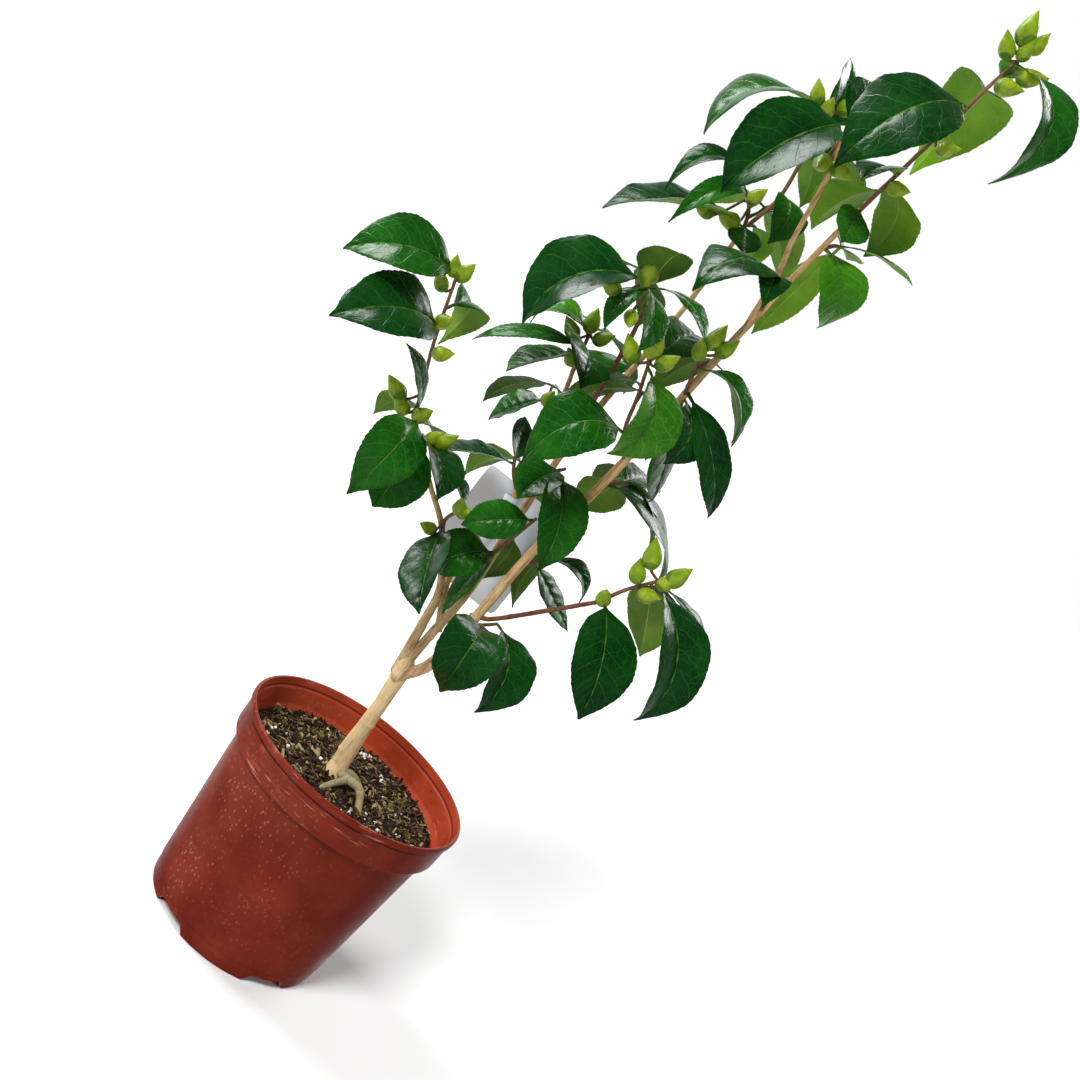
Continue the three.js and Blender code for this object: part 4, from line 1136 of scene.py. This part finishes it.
def bit_size(kind, chance):
    if kind == PERLITE:
        return np.full(3, 0.5 + 1.0 * chance() ** 2)
    slim = 0.35 + 0.9 * chance() ** 1.5
    return np.array([1.2 + 4.8 * chance() ** 1.4, slim, 0.3 + 0.5 * chance()])


def add_soil_bit(heap, generator):
    chance = generator.random
    reach = BITS_REACH * math.sqrt(chance())
    x, y, _ = around(2 * math.pi * chance(), reach)
    kind = generator.choice(5, p=BIT_SHARES)
    size = bit_size(kind, chance)
    corners = CUBE * (1 + 0.35 * (generator.random((8, 3)) - 0.5)) * size
    heading, tip = 2 * math.pi * chance(), 1.3 * (chance() - 0.4)
    turn = np.array(Matrix.Rotation(heading, 3, "Z") @ Matrix.Rotation(tip, 3, "Y"))
    height = float(soil_height(x, y)) + 0.5 * size[2]
    heap.add(corners @ turn.T + np.array([x, y, height]), CUBE_FACES, kind)


def add_soil_fibre(heap, generator):
    chance = generator.random
    reach = FIBRES_START * math.sqrt(chance())
    run = [around(2 * math.pi * chance(), reach)]
    heading = 2 * math.pi * chance()
    stride = 1.4 + 3.0 * chance() ** 2
    for _ in range(4):
        heading += 1.2 * (chance() - 0.5)
        run.append(run[-1] + around(heading, stride))
    if max(np.hypot(x, y) for x, y, _ in run) > FIBRES_REACH:
        return
    run = [np.array([x, y, float(soil_height(x, y)) + 0.3 + 1.2 * chance()]) for x, y, _ in run]
    radii = (0.2 + 0.25 * chance()) * np.array([1, 1, 0.8, 0.6, 0.4])
    add_tube(heap, run, radii, 5, 10, int(generator.choice([1, 2, 2, 3])))


def build_soil_bits():
    generator = np.random.default_rng(41)
    finishes = [earth_material("bit_dark", srgb(24, 16, 11), srgb(48, 33, 22)),
                earth_material("bit_brown", srgb(58, 41, 27), srgb(96, 72, 48)),
                earth_material("bit_tan", srgb(124, 104, 72), srgb(178, 158, 116)),
                earth_material("bit_moss", srgb(92, 88, 42), srgb(132, 124, 64)),
                earth_material("perlite", srgb(214, 210, 198), srgb(244, 242, 234))]
    heap = Heap()
    for _ in range(SOIL_BITS):
        add_soil_bit(heap, generator)
    for _ in range(SOIL_FIBRES):
        add_soil_fibre(heap, generator)
    place_piece(heap.build("soil_bits", finishes, smooth=False), "soil")


# Blank label on its strap
def build_label():
    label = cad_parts["plant_label"]
    label.data.materials.clear()
    label.data.materials.append(label_material())


# Stage, lights and camera, in metres
FLOOR_RADIUS = 40
FLOOR_HEIGHT = -0.0005
GLOW_START = 0.8
GLOW_FULL = 3.5
GLOW = 0.45
PLANT_CENTRE = (0, 0, 0.45)


# A matt pale floor just under the pot that brightens away from it, and isn't mirrored in the leaves
def build_stage():
    bpy.ops.mesh.primitive_circle_add(vertices=128, radius=FLOOR_RADIUS, fill_type="NGON",
                                      location=(0, 0, FLOOR_HEIGHT))
    floor = bpy.context.object
    floor.name = "floor"
    shader = Shader("pale_floor")
    colour = shader.blend(shader.patches(3.0, 2.0, 0.3, 0.7), (0.9, 0.9, 0.9), (0.92, 0.92, 0.92))
    distance = shader.node("ShaderNodeVectorMath", {0: shader.place}, operation="LENGTH").outputs["Value"]
    glow = shader.level(distance, GLOW_START, GLOW_FULL, 0.0, GLOW)
    floor.data.materials.append(shader.finish(colour, 0.9, None, 0.1, Emission_Color=(1, 1, 1, 1),
                                              Emission_Strength=glow))
    floor.visible_glossy = False


# Puts a light or a camera in the scene with its own right, up and back directions
def stand(name, data, place, right, up, back):
    thing = bpy.data.objects.new(name, data)
    bpy.context.scene.collection.objects.link(thing)
    columns = np.stack([right, up, back], 1).tolist()
    thing.matrix_world = Matrix([(*row, p) for row, p in zip(columns, place)] + [(0, 0, 0, 1)])
    return thing


def aim_light(name, data, place, mirrored):
    back = unit(np.array(place, float) - np.array(PLANT_CENTRE, float))
    right = unit(np.cross([0, 0, 1.0], back))
    light = stand(name, data, place, right, np.cross(back, right), back)
    light.visible_glossy = mirrored


def area_light(name, place, size, power, mirrored=True):
    data = bpy.data.lights.new(name, "AREA")
    data.shape = "RECTANGLE"
    data.size, data.size_y = size
    data.energy = power
    aim_light(name, data, place, mirrored)


def sun_light(name, place, strength, spread, mirrored=True):
    data = bpy.data.lights.new(name, "SUN")
    data.energy = strength
    data.angle = math.radians(spread)
    aim_light(name, data, place, mirrored)


# The studio lights the plant brightly from low down behind it and dimly from the other sides, and the
# camera sees it white all round
WORLD_DIM = 0.09
WORLD_BRIGHT = 1.0
BEHIND = {"From Min": 0.5, "From Max": 0.8, "To Min": WORLD_DIM}
LOW_DOWN = {"From Min": 0.36, "From Max": 0.6, "To Min": WORLD_BRIGHT, "To Max": WORLD_DIM}


def build_world():
    world = bpy.data.worlds.new("studio")
    bpy.context.scene.world = world
    world.use_nodes = True
    nodes, links = world.node_tree.nodes, world.node_tree.links
    heading = nodes.new("ShaderNodeTexCoord")
    parts = nodes.new("ShaderNodeSeparateXYZ")
    behind, low_down = nodes.new("ShaderNodeMapRange"), nodes.new("ShaderNodeMapRange")
    links.new(heading.outputs["Generated"], parts.inputs["Vector"])
    links.new(parts.outputs["Y"], behind.inputs["Value"])
    links.new(parts.outputs["Z"], low_down.inputs["Value"])
    links.new(low_down.outputs["Result"], behind.inputs["To Max"])
    for node, settings in ((behind, BEHIND), (low_down, LOW_DOWN)):
        for socket, value in settings.items():
            node.inputs[socket].default_value = value
    backdrop = nodes.new("ShaderNodeMath")
    backdrop.operation = "MAXIMUM"
    links.new(nodes.new("ShaderNodeLightPath").outputs["Is Camera Ray"], backdrop.inputs[0])
    links.new(behind.outputs["Result"], backdrop.inputs[1])
    background = nodes["Background"]
    background.inputs["Color"].default_value = (1, 1, 1, 1)
    links.new(backdrop.outputs["Value"], background.inputs["Strength"])


# The key gives the leaves their sheen from the upper left. The two front lights aren't mirrored in them.
def build_lights():
    area_light("key", (-1.75, 0.3, 1.75), (1.0, 1.6), 46)
    area_light("back", (0.9, 1.6, 1.8), (1.0, 0.8), 16)
    sun_light("front", (-0.9, -1.7, 2.2), 3.0, 18, mirrored=False)
    area_light("fill", (1.8, -1.1, 1.0), (0.8, 1.4), 10, mirrored=False)


# The camera is rolled, because the photograph shows the plant tipped
def build_camera():
    pitch, roll = math.radians(CAMERA_PITCH), math.radians(CAMERA_ROLL)
    forward = np.array([0, math.cos(pitch), -math.sin(pitch)])
    plain_up = np.array([0, math.sin(pitch), math.cos(pitch)])
    plain_right = np.array([1.0, 0, 0])
    right = math.cos(roll) * plain_right + math.sin(roll) * plain_up
    up = math.cos(roll) * plain_up - math.sin(roll) * plain_right
    data = bpy.data.cameras.new("camera")
    data.sensor_width = SENSOR_MM
    data.lens = SENSOR_MM * FOCAL_PIXELS / IMAGE_PIXELS
    bpy.context.scene.camera = stand("camera", data, [c * MM for c in CAMERA_PLACE], right, up, -forward)
    bpy.context.scene.view_settings.view_transform = "Standard"


build_camera()
build_world()
build_lights()
build_stage()
build_trunk()
build_boughs()
build_foliage()
build_pot()
build_soil()
build_soil_bits()
build_label()
